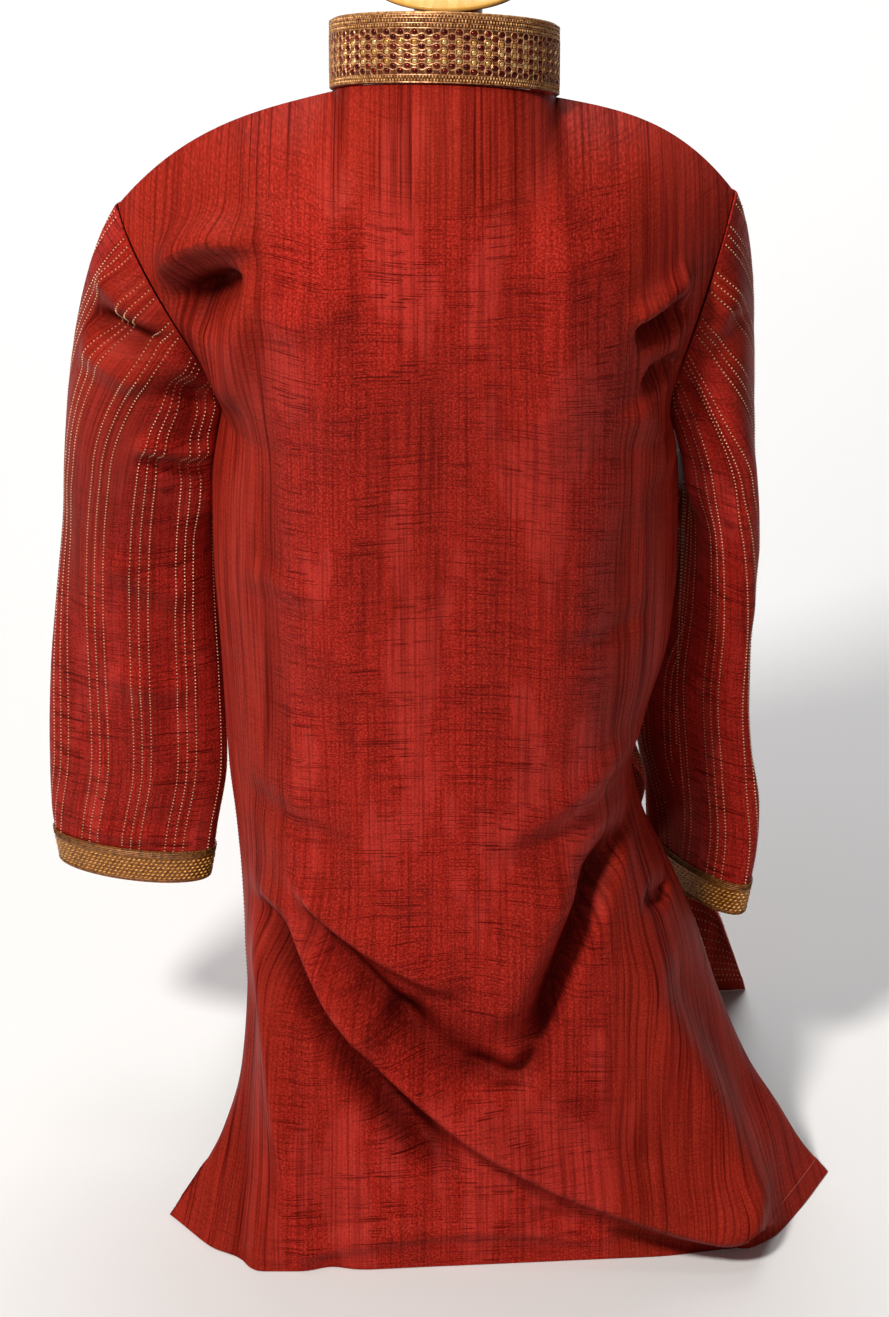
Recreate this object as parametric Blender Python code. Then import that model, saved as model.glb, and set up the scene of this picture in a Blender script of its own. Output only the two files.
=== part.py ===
"""Kurta tunic for a child of about nine, worn by a limbless tabletop dress form.

Metres, +Z up. The garment's front faces -Y and its left side is +X. The origin is the middle
of the base's underside, on the floor. Every cloth piece is a thin wall between an outer
surface, worked out from the tables below, and the same surface moved in by the cloth.
"""

import bpy
import bmesh
import numpy as np
from math import pi, radians

# Driving dimensions
CLOTH = 0.0015            # wall of the silk
SEAM_GAP = 0.0003         # between pieces that meet at a seam
LAY_GAP = 0.0004          # between a piece and what is sewn on top of it
PLACKET_LAY = 0.0006      # placket strip off the front panel
HEM_CLEAR = 0.0006        # hem above the floor
UNDERARM_Z = 0.530
SLIT_TOP_Z = 0.285
EDGE_FADE = 0.16          # share of the half panel over which its folds die out at the side
EDGE_FOLD = 0.35          # how much of a fold is left at the slit's open edge
YOKE_FADE = 0.35          # share of the upper panel over which its folds die out at the shoulder
NECK_X, NECK_BACK_Y, NECK_FRONT_Y = 0.0612, 0.0535, -0.0600
NECK_Z, NECK_SLOPE = 0.7195, 0.545      # height at the sides, rise towards the back
NECK_ROLL = 0.03          # the neck sits a little higher on the left
# shoulder seam: tip x, tip z, straight part of the drop from neck to tip; the rest is rounded
SHOULDER = {1: (0.184, 0.652, 0.030), -1: (0.163, 0.660, 0.022)}
SHOULDER_ROUND = 3.2
SLEEVE_PUSH = {1: 0.062, -1: 0.040}    # how far a sleeve head stands out before it drops
SLEEVE_AROUND, SLEEVE_HEAD_ROWS, SLEEVE_ROWS = 18, 6, {1: 9, -1: 10}
ARMHOLE_BULGE = 0.16
ARMHOLE_GAP, ARMHOLE_GAP_TOP = 0.0007, 0.0008      # sleeve off the body, and more of it at the shoulder
COLLAR_H, COLLAR_WALL, COLLAR_LEAN = 0.0375, 0.0016, 0.30
COLLAR_RISE = 0.0007      # collar's lower edge above the neckline
COLLAR_OUT = 0.0012       # collar's outer face beyond the neckline
COLLAR_OPEN = radians(4.5)     # half of the opening at the front
TRIM_WALL, TRIM_INSET = 0.0009, 0.0003     # the collar's trim ends this far inside its edges
CUFF_TRIM_H = 0.024
PLACKET_W, PLACKET_WALL = 0.028, 0.0012
PLACKET_TOP, PLACKET_END = 0.975, 0.10    # share of the way up from the underarm's height
FRONT_X_PER_U = 0.220     # how wide a share of the front is near its middle
BUTTON_R, BUTTON_H, BUTTON_COUNT = 0.0045, 0.0024, 4
BASE_R, BASE_H = 0.092, 0.016
POLE_R = 0.011
TORSO_BOTTOM, NECK_TOP, TORSO_SQUARE = 0.262, 0.742, 2.2
CAP_FOOT_R, CAP_STEM_R, CAP_STEM_TOP = 0.034, 0.019, 0.7795
CAP_R, CAP_RIM, CAP_DOME = 0.0430, 0.0034, 0.0060
CAP_X, CAP_Y = -0.002, -0.014


def table(columns, rows):
    names = columns.split()
    return {n: np.array([float(r[i]) for r in rows]) for i, n in enumerate(names)}


# Half widths, depths and slit edges of the two panels at each height above the floor
BODY = table(
    "z      left   right  back   front   bl_edge br_edge fl_edge fr_edge fl    fr   sq_l sq_r", [
        (0.000, 0.173, 0.245, 0.150, -0.178, 0.101, 0.059, -0.125, -0.135, 0.128, 0.205, 3.6, 2.4),
        (0.020, 0.159, 0.229, 0.145, -0.172, 0.095, 0.056, -0.118, -0.128, 0.126, 0.200, 3.3, 2.4),
        (0.050, 0.140, 0.210, 0.135, -0.165, 0.078, 0.046, -0.105, -0.116, 0.124, 0.192, 2.9, 2.4),
        (0.090, 0.129, 0.188, 0.123, -0.156, 0.060, 0.036, -0.085, -0.100, 0.122, 0.180, 2.6, 2.4),
        (0.130, 0.1255, 0.171, 0.113, -0.148, 0.044, 0.027, -0.065, -0.084, 0.121, 0.158, 2.4, 2.4),
        (0.170, 0.124, 0.1565, 0.109, -0.141, 0.030, 0.018, -0.045, -0.055, 0.121, 0.122, 2.3, 2.3),
        (0.210, 0.1255, 0.1395, 0.108, -0.134, 0.016, 0.010, -0.028, -0.032, 0.122, 0.122, 2.3, 2.3),
        (0.250, 0.1285, 0.121, 0.107, -0.128, 0.006, 0.004, -0.012, -0.013, 0.126, 0.125, 2.3, 2.3),
        (0.285, 0.132, 0.1145, 0.103, -0.122, 0.000, 0.000, 0.000, 0.000, 0.132, 0.1145, 2.3, 2.3),
        (0.330, 0.1335, 0.124, 0.099, -0.116, 0.000, 0.000, 0.000, 0.000, 0.1335, 0.124, 2.3, 2.3),
        (0.380, 0.135, 0.1355, 0.095, -0.113, 0.000, 0.000, 0.000, 0.000, 0.135, 0.1355, 2.3, 2.3),
        (0.430, 0.137, 0.138, 0.095, -0.112, 0.000, 0.000, 0.000, 0.000, 0.137, 0.138, 2.3, 2.3),
        (0.480, 0.136, 0.137, 0.097, -0.111, 0.000, 0.000, 0.000, 0.000, 0.136, 0.137, 2.3, 2.3),
        (0.530, 0.129, 0.129, 0.099, -0.108, 0.000, 0.000, 0.000, 0.000, 0.129, 0.129, 2.3, 2.3),
    ])

# Where the two hems lie, from the right corner to the left; the cloth comes to these lines
# over its last HEM_RUN of height
HEM_RUN = 0.10
HEM = {
    1: table("x       y", [
        (-0.245, 0.059), (-0.224, 0.096), (-0.203, 0.125), (-0.178, 0.138), (-0.104, 0.143),
        (0.000, 0.150), (0.089, 0.155), (0.113, 0.155), (0.133, 0.144), (0.173, 0.101)]),
    -1: table("x       y", [
        (-0.205, -0.135), (-0.178, -0.133), (-0.163, -0.139), (-0.145, -0.157), (-0.110, -0.172),
        (-0.050, -0.178), (0.060, -0.176), (0.100, -0.163), (0.120, -0.146), (0.128, -0.125)]),
}

# Sections of each sleeve below the armhole: middle, half size across and fore-and-aft, turn
SLEEVES = {
    1: table("z      x      y       across deep   turn", [
        (0.490, 0.1805, -0.012, 0.0430, 0.038, 0),
        (0.440, 0.1830, -0.020, 0.0455, 0.031, -2),
        (0.380, 0.1865, -0.026, 0.0495, 0.026, -4),
        (0.320, 0.1890, -0.029, 0.0540, 0.022, -6),
        (0.260, 0.1910, -0.031, 0.0565, 0.019, -9),
        (0.210, 0.1955, -0.032, 0.0535, 0.017, -12),
        (0.176, 0.1965, -0.032, 0.0487, 0.017, -13),
    ]),
    -1: table("z      x      y       across deep   turn", [
        (0.490, -0.1585, -0.010, 0.0175, 0.050, 16),
        (0.440, -0.1592, -0.017, 0.0140, 0.049, 24),
        (0.380, -0.1570, -0.026, 0.0130, 0.049, 33),
        (0.320, -0.1530, -0.033, 0.0140, 0.052, 40),
        (0.260, -0.1570, -0.038, 0.0140, 0.053, 42),
        (0.205, -0.1620, -0.040, 0.0145, 0.0490, 40),
        (0.158, -0.1600, -0.041, 0.0150, 0.0460, 36),
    ]),
}

# Folds of the cloth: a curve through three places (x, z) of the panel, with the half width of
# the fold and how far it stands out of the panel (or dips in, below zero)
BACK_FOLDS = table(
    "x0     z0     x1     z1     x2     z2     width  height", [
        (0.120, 0.205, 0.060, 0.090, -0.150, 0.020, 0.020, 0.013),
        (0.105, 0.235, 0.045, 0.180, -0.030, 0.165, 0.019, 0.011),
        (0.112, 0.190, 0.050, 0.110, -0.010, 0.080, 0.015, -0.009),
        (-0.108, 0.255, -0.062, 0.200, -0.052, 0.110, 0.022, -0.015),
        (-0.105, 0.180, -0.140, 0.110, -0.185, 0.030, 0.022, 0.012),
        (-0.060, 0.110, -0.030, 0.092, 0.000, 0.100, 0.014, -0.010),
        (0.106, 0.180, 0.106, 0.090, 0.112, 0.010, 0.013, 0.009),
        (0.092, 0.170, 0.090, 0.130, 0.090, 0.080, 0.012, -0.008),
        (-0.010, 0.060, -0.080, 0.040, -0.130, 0.010, 0.016, -0.007),
        (0.095, 0.685, 0.130, 0.655, 0.152, 0.600, 0.013, -0.008),
        (0.090, 0.700, 0.125, 0.672, 0.160, 0.640, 0.014, 0.008),
        (-0.110, 0.615, -0.125, 0.580, -0.138, 0.560, 0.014, 0.006),
        (0.000, 0.560, -0.004, 0.430, -0.010, 0.300, 0.018, -0.003),
    ])
FRONT_FOLDS = table(
    "x0     z0     x1     z1     x2     z2     width  height", [
        (0.070, 0.330, 0.085, 0.160, 0.096, 0.000, 0.020, 0.017),
        (0.040, 0.260, 0.050, 0.130, 0.052, 0.000, 0.017, -0.012),
        (0.012, 0.360, 0.005, 0.170, 0.004, 0.000, 0.021, 0.015),
        (-0.030, 0.280, -0.044, 0.140, -0.050, 0.000, 0.018, -0.013),
        (-0.060, 0.340, -0.085, 0.160, -0.104, 0.000, 0.021, 0.015),
        (-0.090, 0.260, -0.124, 0.120, -0.150, 0.000, 0.018, -0.010),
        (0.100, 0.600, 0.080, 0.560, 0.050, 0.520, 0.016, 0.004),
        (-0.100, 0.600, -0.080, 0.560, -0.050, 0.520, 0.016, 0.004),
    ])

# The dress form's torso: half width and half depth at each height, and its middle in y
TORSO = table("z      wide   deep   y", [
    (0.262, 0.095, 0.072, -0.010),
    (0.266, 0.102, 0.078, -0.010),
    (0.300, 0.106, 0.082, -0.010),
    (0.360, 0.104, 0.080, -0.010),
    (0.430, 0.108, 0.084, -0.008),
    (0.500, 0.116, 0.089, -0.006),
    (0.560, 0.119, 0.091, -0.003),
    (0.610, 0.123, 0.086, 0.001),
    (0.645, 0.127, 0.075, 0.008),
    (0.670, 0.128, 0.059, 0.012),
    (0.685, 0.123, 0.046, 0.013),
    (0.695, 0.111, 0.036, 0.011),
    (0.703, 0.094, 0.029, 0.010),
    (0.709, 0.0765, 0.0268, 0.0078),
    (0.7135, 0.056, 0.026, 0.006),
    (0.726, 0.043, 0.036, -0.005),
    (0.742, 0.041, 0.036, -0.010),
])


def smooth_at(xs, ys, x):
    """Monotone cubic through (xs, ys), read at x."""
    h = np.diff(xs)
    d = np.diff(ys) / h
    m = np.concatenate([[d[0]], np.where(d[:-1] * d[1:] > 0,
                        2 * d[:-1] * d[1:] / (d[:-1] + d[1:] + 1e-30), 0.0), [d[-1]]])
    x = np.clip(np.asarray(x, float), xs[0], xs[-1])
    i = np.clip(np.searchsorted(xs, x, side="right") - 1, 0, len(h) - 1)
    t = (x - xs[i]) / h[i]
    return ((2 * t ** 3 - 3 * t ** 2 + 1) * ys[i] + (t ** 3 - 2 * t ** 2 + t) * h[i] * m[i]
            + (3 * t ** 2 - 2 * t ** 3) * ys[i + 1] + (t ** 3 - t ** 2) * h[i] * m[i + 1])


def at(tab, column, z):
    order = np.argsort(tab["z"])
    return smooth_at(tab["z"][order], tab[column][order], z)


def ease(t):
    t = np.clip(t, 0.0, 1.0)
    return t * t * (3 - 2 * t)


def hermite(p0, m0, p1, m1, t):
    return ((2 * t ** 3 - 3 * t ** 2 + 1) * p0 + (t ** 3 - 2 * t ** 2 + t) * m0
            + (3 * t ** 2 - 2 * t ** 3) * p1 + (t ** 3 - t ** 2) * m1)


def stack(*xyz):
    return np.stack(np.broadcast_arrays(*xyz), axis=-1).astype(float)


def level(u, z, face):
    """Panel at height z, u from -1 (right side) to 1 (left side); face 1 back, -1 front."""
    s = np.abs(np.sin(u * pi / 2))
    n = np.where(u > 0, at(BODY, "sq_l", z), at(BODY, "sq_r", z))
    c = (1 - s ** n) ** (1 / n)
    left, right, depth, le, re = (("left", "right", "back", "bl_edge", "br_edge") if face > 0
                                  else ("fl", "fr", "front", "fl_edge", "fr_edge"))
    half = np.where(u > 0, at(BODY, left, z), at(BODY, right, z))
    edge = np.where(u > 0, at(BODY, le, z), at(BODY, re, z))
    y = edge + (at(BODY, depth, z) - edge) * c
    # over the last stretch the panel comes to its hem line
    hem_x = np.sign(u) * s * np.where(u > 0, BODY[left][0], BODY[right][0])
    n0 = np.where(u > 0, BODY["sq_l"][0], BODY["sq_r"][0])
    edge0 = np.where(u > 0, BODY[le][0], BODY[re][0])
    plain = edge0 + (BODY[depth][0] - edge0) * (1 - s ** n0) ** (1 / n0)
    foot = ease(1 - np.asarray(z) / HEM_RUN)
    y = y + (smooth_at(HEM[face]["x"], HEM[face]["y"], hem_x) - plain) * foot
    return stack(np.sign(u) * half * s, y, z)


NECK_SHARE = 0.40         # share of the top row that is the neckline
# How strongly each panel turns forward (or back) and up as it comes to its top row
YOKE = table("across back  back_rise front front_rise", [
    (0.00, 0.22, 0.120, 0.12, 0.120),
    (0.20, 0.26, 0.105, 0.14, 0.120),
    (0.40, 0.40, 0.060, 0.18, 0.115),
    (0.60, 0.38, 0.035, 0.18, 0.100),
    (0.80, 0.28, 0.030, 0.17, 0.080),
    (1.00, 0.17, 0.030, 0.16, 0.030),
])


def top_row(u, face):
    """Neckline in the middle of the row, a shoulder seam at each side."""
    a = np.abs(u)
    phi = np.clip(a / NECK_SHARE, 0, 1) * pi / 2
    neck_y = (NECK_BACK_Y if face > 0 else NECK_FRONT_Y) * np.cos(phi)
    side = np.where(u > 0, 1, -1)
    tip_x = np.where(u > 0, SHOULDER[1][0], SHOULDER[-1][0])
    tip_z = np.where(u > 0, SHOULDER[1][1], SHOULDER[-1][1])
    straight = np.where(u > 0, SHOULDER[1][2], SHOULDER[-1][2])
    s = np.clip((a - NECK_SHARE) / (1 - NECK_SHARE), 0, 1)
    x = np.where(a < NECK_SHARE, NECK_X * np.sin(phi), NECK_X + (tip_x - NECK_X) * s)
    drop = straight * s + (NECK_Z - tip_z - straight) * s ** SHOULDER_ROUND
    z = NECK_Z + NECK_ROLL * NECK_X * side * np.sin(phi) * (1 - s)
    z = z + np.where(a < NECK_SHARE, NECK_SLOPE * neck_y, -drop)
    return stack(side * x, np.where(a < NECK_SHARE, neck_y, 0.0), z)


def soft_top(u, t, face):
    """Top row, its corners rounded off as t goes down from 1."""
    spread = 0.42 * (1 - t) ** 0.6 * ease((1 - np.abs(u)) / 0.4)
    steps = np.linspace(-1, 1, 11)
    weights = np.cos(steps * pi / 2) + 0.05
    rows = [top_row(u + spread * k, face) * w for k, w in zip(steps, weights)]
    return sum(rows) / weights.sum()


def upper(u, t, face):
    """Panel above the underarm, t from 0 to 1 at the neckline and shoulder seams."""
    bottom = level(u, np.full_like(u, UNDERARM_Z), face)
    top = soft_top(u, t, face)
    a = np.abs(u)
    e = ease((a - 0.45) / 0.55)
    side = np.sign(u)
    m0 = stack(side * 0.01 * e, face * (0.012 + ARMHOLE_BULGE * e ** 2), 0.19 - 0.06 * e)
    pull, rise = ("back", "back_rise") if face > 0 else ("front", "front_rise")
    m1 = stack(side * 0.03 * e, -face * smooth_at(YOKE["across"], YOKE[pull], a),
               smooth_at(YOKE["across"], YOKE[rise], a))
    return hermite(bottom, m0, top, m1, t[..., None])


def fold_height(folds, x, z):
    """How far the folds lift the cloth at the place (x, z)."""
    out = np.zeros_like(x)
    s = np.linspace(0, 1, 25)
    for i in range(len(folds["x0"])):
        f = {k: v[i] for k, v in folds.items()}
        cx = (1 - s) ** 2 * f["x0"] + 2 * s * (1 - s) * f["x1"] + s ** 2 * f["x2"]
        cz = (1 - s) ** 2 * f["z0"] + 2 * s * (1 - s) * f["z1"] + s ** 2 * f["z2"]
        d2 = (x[..., None] - cx) ** 2 + (z[..., None] - cz) ** 2
        k = np.argmin(d2, axis=-1)
        d = np.sqrt(np.take_along_axis(d2, k[..., None], -1)[..., 0])
        run = s[k]
        fade = ease(run / 0.25) if f["z0"] > 0.03 else 1.0
        fade = fade * (ease((1 - run) / 0.25) if f["z2"] > 0.03 else 1.0)
        out += f["height"] * np.exp(-(d / f["width"]) ** 2) * fade
    return out


def normals(p, closed=False):
    """Unit normals of a grid of points, rows up and columns across."""
    if closed:
        across = np.roll(p, -1, 1) - np.roll(p, 1, 1)
    else:
        across = np.gradient(p, axis=1)
    n = np.cross(across, np.gradient(p, axis=0))
    return n / np.linalg.norm(n, axis=-1, keepdims=True)


def panel(face, cols, rows_low, rows_up):
    """Outer and inner points of the back (face 1) or front (face -1) panel."""
    u = np.linspace(-1, 1, cols)
    # a little closer rows where the hem and the swags are
    z = UNDERARM_Z * np.linspace(0, 1, rows_low) ** 1.12
    uu, zz = np.meshgrid(u, z)
    low = level(uu, zz, face)
    tt = np.meshgrid(u, np.linspace(0, 1, rows_up + 1)[1:])[1]
    up = upper(np.tile(u, (rows_up, 1)), tt, face)
    p = np.concatenate([low, up])
    n = normals(p) * -face
    folds = BACK_FOLDS if face > 0 else FRONT_FOLDS
    lift = fold_height(folds, p[..., 0], p[..., 2])
    rise = p[..., 2]
    in_u = ease((1 - np.abs(np.tile(u, (len(p), 1)))) / EDGE_FADE)
    hold = np.where(rise > SLIT_TOP_Z, in_u, EDGE_FOLD + (1 - EDGE_FOLD) * in_u)
    last = np.arange(len(p))[::-1][:, None] / max(rows_up, 1)
    hold = hold * ease(last / YOKE_FADE)
    p = p + n * (lift * hold)[..., None]
    p[0, :, 2] = 0.0
    n = normals(p) * -face
    # along the side and shoulder seams the two panels meet on a plane
    seam = SEAM_GAP / 2 * face
    side_rows = rise[:, 0] >= SLIT_TOP_Z - 1e-6
    side_rows[rows_low:] = False
    for c in (0, -1):
        n[side_rows, c, 1] = 0
        p[side_rows, c, 1] = seam
    shoulder = np.abs(u) >= NECK_SHARE - 1e-6
    n[-1, shoulder, 1] = 0
    p[-1, shoulder, 1] = seam
    n /= np.linalg.norm(n, axis=-1, keepdims=True)
    p[..., 2] += HEM_CLEAR * ease(1 - p[..., 2] / 0.05)
    inner = p - n * CLOTH
    inner[..., 2] = np.maximum(inner[..., 2], HEM_CLEAR * 0.7)
    return p, inner


def armhole(side, count):
    """Closed loop round an armhole: underarm, up the back, shoulder tip, down the front."""
    t = np.linspace(0, 1, count // 2 + 1)
    u = np.full_like(t, float(side))
    back, front = upper(u, t, 1), upper(u, t, -1)
    return np.concatenate([back, front[-2:0:-1]])


def sleeve(side, around, head_rows, rows):
    """Outer and inner points of a sleeve, row 0 at the armhole, columns from the underarm."""
    tab = SLEEVES[side]
    th = np.arange(around) * 2 * pi / around

    def section(z):
        ax, dp = at(tab, "across", z), at(tab, "deep", z)
        turn = np.radians(at(tab, "turn", z)) * side * -1
        lx, ly = -np.cos(th) * ax * side, np.sin(th) * dp
        x = at(tab, "x", z) + lx * np.cos(turn) + ly * np.sin(turn) * side
        y = at(tab, "y", z) - lx * np.sin(turn) * side + ly * np.cos(turn)
        return stack(x, y, z)

    loop = armhole(side, around)
    up_share = (1 - np.cos(th)) / 2
    loop[:, 0] += side * (ARMHOLE_GAP + ARMHOLE_GAP_TOP * up_share)
    z0, z1 = tab["z"].max(), tab["z"].min()
    first, second = section(z0), section(z0 - 0.01)
    m0 = stack(side * (0.012 + SLEEVE_PUSH[side] * up_share), np.sin(th) * 0.02, -0.02 - 0.10 * up_share)
    m1 = (second - first) / 0.01 * (0.03 + 0.11 * up_share)[:, None]
    t = np.linspace(0, 1, head_rows + 1)[:, None, None]
    head = hermite(loop, m0, first, m1, t)
    body = np.stack([section(z) for z in np.linspace(z0, z1, rows + 1)[1:]])
    p = np.concatenate([head, body])
    n = normals(p, closed=True) * side
    return p, p - n * CLOTH


def ring_wall(name, outer, inner, material, closed):
    """Closed body between two grids of points."""
    rows, cols = outer.shape[:2]
    verts = np.concatenate([outer.reshape(-1, 3), inner.reshape(-1, 3)])
    half = rows * cols
    faces = []
    span = cols if closed else cols - 1
    for r in range(rows - 1):
        for c in range(span):
            a, b = r * cols + c, r * cols + (c + 1) % cols
            d, e = a + cols, b + cols
            faces.append((a, b, e, d))
            faces.append((half + a, half + d, half + e, half + b))
    for c in range(span):
        b = (c + 1) % cols
        faces.append((c, half + c, half + b, b))
        t = (rows - 1) * cols
        faces.append((t + c, t + b, half + t + b, half + t + c))
    if not closed:
        for r in range(rows - 1):
            a, d = r * cols, (r + 1) * cols
            faces.append((a, d, half + d, half + a))
            e = cols - 1
            faces.append((a + e, half + a + e, half + d + e, d + e))
    return body(name, verts, faces, material)


def body(name, verts, faces, material):
    mesh = bpy.data.meshes.new(name)
    bm = bmesh.new()
    vs = [bm.verts.new([float(c) for c in v]) for v in verts]
    for f in faces:
        bm.faces.new([vs[i] for i in f])
    bmesh.ops.triangulate(bm, faces=bm.faces[:], quad_method="SHORT_EDGE")
    bmesh.ops.recalc_face_normals(bm, faces=bm.faces[:])
    bm.to_mesh(mesh)
    bm.free()
    mesh.materials.append(material)
    obj = bpy.data.objects.new(name, mesh)
    bpy.context.scene.collection.objects.link(obj)
    obj.parent = ROOT
    return obj


def paint(name, rgb, roughness, metallic=0.0):
    m = bpy.data.materials.new(name)
    m.use_nodes = True
    shader = m.node_tree.nodes["Principled BSDF"]
    shader.inputs["Base Color"].default_value = (*[(c / 255) ** 2.2 for c in rgb], 1)
    shader.inputs["Roughness"].default_value = roughness
    shader.inputs["Metallic"].default_value = metallic
    m.diffuse_color = (*[(c / 255) ** 2.2 for c in rgb], 1)
    return m


def revolve(name, profile, around, material, cx=0.0, cy=0.0):
    """Turned body from (radius, z) points, closed by a point at each end of the axis."""
    ang = np.arange(around) * 2 * pi / around
    rings = [stack(cx + r * np.cos(ang), cy + r * np.sin(ang), z) for r, z in profile]
    return capped(name, rings, material)


def capped(name, rings, material):
    count = len(rings[0])
    verts = np.concatenate(rings + [rings[0].mean(0)[None], rings[-1].mean(0)[None]])
    faces = []
    for r in range(len(rings) - 1):
        for c in range(count):
            b = (c + 1) % count
            faces.append((r * count + c, r * count + b, (r + 1) * count + b, (r + 1) * count + c))
    low, high, top = len(verts) - 2, len(verts) - 1, (len(rings) - 1) * count
    for c in range(count):
        b = (c + 1) % count
        faces.append((low, b, c))
        faces.append((high, top + c, top + b))
    return body(name, verts, faces, material)


def collar_grid(out, inset):
    """Band round the neck, moved out from the collar's own outer face, open at the front."""
    phi = np.linspace(-pi + COLLAR_OPEN, pi - COLLAR_OPEN, 39)
    h = np.linspace(inset, COLLAR_H - inset, 3)
    pp, hh = np.meshgrid(phi, h)
    x = (NECK_X + COLLAR_OUT + out) * np.sin(pp)
    ry = np.where(np.cos(pp) > 0, NECK_BACK_Y, -NECK_FRONT_Y) + COLLAR_OUT + out
    y = ry * np.cos(pp)
    base_z = NECK_Z + NECK_SLOPE * (y - (COLLAR_OUT + out) * np.cos(pp)) + NECK_ROLL * x
    lean = hh / np.hypot(1, COLLAR_LEAN)
    return stack(x, y - COLLAR_LEAN * lean, base_z + COLLAR_RISE + lean)


def on_front(x, t, out):
    """Place on the front panel above the underarm, x across and t up, moved out."""
    u = np.asarray(x) / FRONT_X_PER_U
    u, t = np.broadcast_arrays(u.astype(float), np.asarray(t, float))
    step = 1e-3
    p = upper(u, t, -1)
    n = np.cross(upper(u + step, t, -1) - upper(u - step, t, -1),
                 upper(u, np.minimum(t + step, 1), -1) - upper(u, t - step, -1))
    n /= np.linalg.norm(n, axis=-1, keepdims=True)
    return p + n * out, n


def torso_ring(z):
    """One ring of the dress form's torso."""
    ang = np.arange(24) * 2 * pi / 24
    wide, deep, y = (float(at(TORSO, k, z)) for k in ("wide", "deep", "y"))
    s, c = np.sin(ang), np.cos(ang)
    power = 2 / TORSO_SQUARE
    return stack(np.sign(s) * wide * np.abs(s) ** power, y + np.sign(c) * deep * np.abs(c) ** power, z)


# The scene starts empty
for old in list(bpy.data.objects):
    bpy.data.objects.remove(old)
ROOT = bpy.data.objects.new("kurta_on_form", None)
bpy.context.scene.collection.objects.link(ROOT)

BACK = panel(1, 35, 26, 8)
FRONT = panel(-1, 25, 19, 7)
ring_wall("back_panel", *BACK, paint("silk_back", (154, 37, 29), 0.42), False)
ring_wall("front_panel", *FRONT, paint("silk_front", (158, 40, 31), 0.42), False)
for side, word in ((1, "left"), (-1, "right")):
    outer, inner = sleeve(side, SLEEVE_AROUND, SLEEVE_HEAD_ROWS, SLEEVE_ROWS[side])
    ring_wall("sleeve_" + word, outer, inner, paint("silk_sleeve_" + word, (150, 37, 28), 0.42), True)
    n = normals(outer, closed=True) * side
    z_mean = outer[:, :, 2].mean(1)
    z_end = z_mean[-1]
    # the trim lies on the sleeve's last rows, with one more row put in at its upper edge
    top = np.array([[np.interp(z_end + CUFF_TRIM_H, z_mean[::-1], outer[::-1, c, k])
                     for k in range(3)] for c in range(outer.shape[1])])
    topn = np.array([[np.interp(z_end + CUFF_TRIM_H, z_mean[::-1], n[::-1, c, k])
                      for k in range(3)] for c in range(outer.shape[1])])
    topn /= np.linalg.norm(topn, axis=-1, keepdims=True)
    pts, nn = np.stack([top, outer[-1]]), np.stack([topn, n[-1]])
    ring_wall("cuff_trim_" + word, pts + nn * (LAY_GAP + TRIM_WALL), pts + nn * LAY_GAP,
              paint("braid_" + word, (150, 98, 55), 0.5, 0.4), True)

ring_wall("collar", collar_grid(0.0, 0.0), collar_grid(-COLLAR_WALL, 0.0),
          paint("silk_collar", (140, 34, 26), 0.45), False)
ring_wall("collar_trim", collar_grid(LAY_GAP + TRIM_WALL, TRIM_INSET), collar_grid(LAY_GAP, TRIM_INSET),
          paint("sequin_ribbon", (142, 85, 50), 0.45, 0.4), False)

xs, ts = np.meshgrid(np.linspace(-PLACKET_W / 2, PLACKET_W / 2, 5),
                     np.linspace(PLACKET_END, PLACKET_TOP, 13))
ring_wall("placket", on_front(xs, ts, PLACKET_LAY + PLACKET_WALL)[0], on_front(xs, ts, PLACKET_LAY)[0],
          paint("silk_placket", (150, 38, 29), 0.42), False)
for i in range(BUTTON_COUNT):
    t = PLACKET_END + (PLACKET_TOP - PLACKET_END) * (i + 0.6) / BUTTON_COUNT
    c, n = on_front(np.zeros(1), np.full(1, t), PLACKET_LAY + PLACKET_WALL + LAY_GAP)
    c, n = c[0], n[0]
    a = np.cross(n, (0, 0, 1))
    a /= np.linalg.norm(a)
    b = np.cross(a, n)
    ang = np.arange(14) * 2 * pi / 14
    rings = [c + n * up + r * (np.cos(ang)[:, None] * a + np.sin(ang)[:, None] * b)
             for r, up in ((BUTTON_R * 0.8, 0), (BUTTON_R, BUTTON_H * 0.35),
                           (BUTTON_R, BUTTON_H * 0.65), (BUTTON_R * 0.7, BUTTON_H))]
    capped(f"button_{BUTTON_COUNT - i}", rings, paint(f"button_gold_{i}", (176, 128, 62), 0.3, 0.8))

# Dress form
capped("form_torso", [torso_ring(z) for z in TORSO["z"]], paint("jersey", (214, 203, 184), 0.85))
z, rim = NECK_TOP + SEAM_GAP, CAP_STEM_TOP
revolve("form_cap", [(CAP_FOOT_R, z), (CAP_FOOT_R, z + 0.004), (CAP_FOOT_R - 0.004, z + 0.007),
                     (CAP_STEM_R, z + 0.012), (CAP_STEM_R, rim - 0.004), (CAP_STEM_R + 0.006, rim),
                     (CAP_R - 0.0006, rim), (CAP_R, rim + 0.0008),
                     (CAP_R, rim + CAP_RIM - 0.0008), (CAP_R - 0.0012, rim + CAP_RIM),
                     (CAP_R * 0.75, rim + CAP_RIM + CAP_DOME * 0.45),
                     (CAP_R * 0.4, rim + CAP_RIM + CAP_DOME * 0.85),
                     (CAP_R * 0.1, rim + CAP_RIM + CAP_DOME)],
        22, paint("turned_wood", (222, 160, 84), 0.45), CAP_X, CAP_Y)
revolve("form_pole", [(POLE_R, BASE_H + SEAM_GAP), (POLE_R, TORSO_BOTTOM - SEAM_GAP)], 20,
        paint("pole_steel", (170, 170, 172), 0.3, 0.9))
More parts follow.
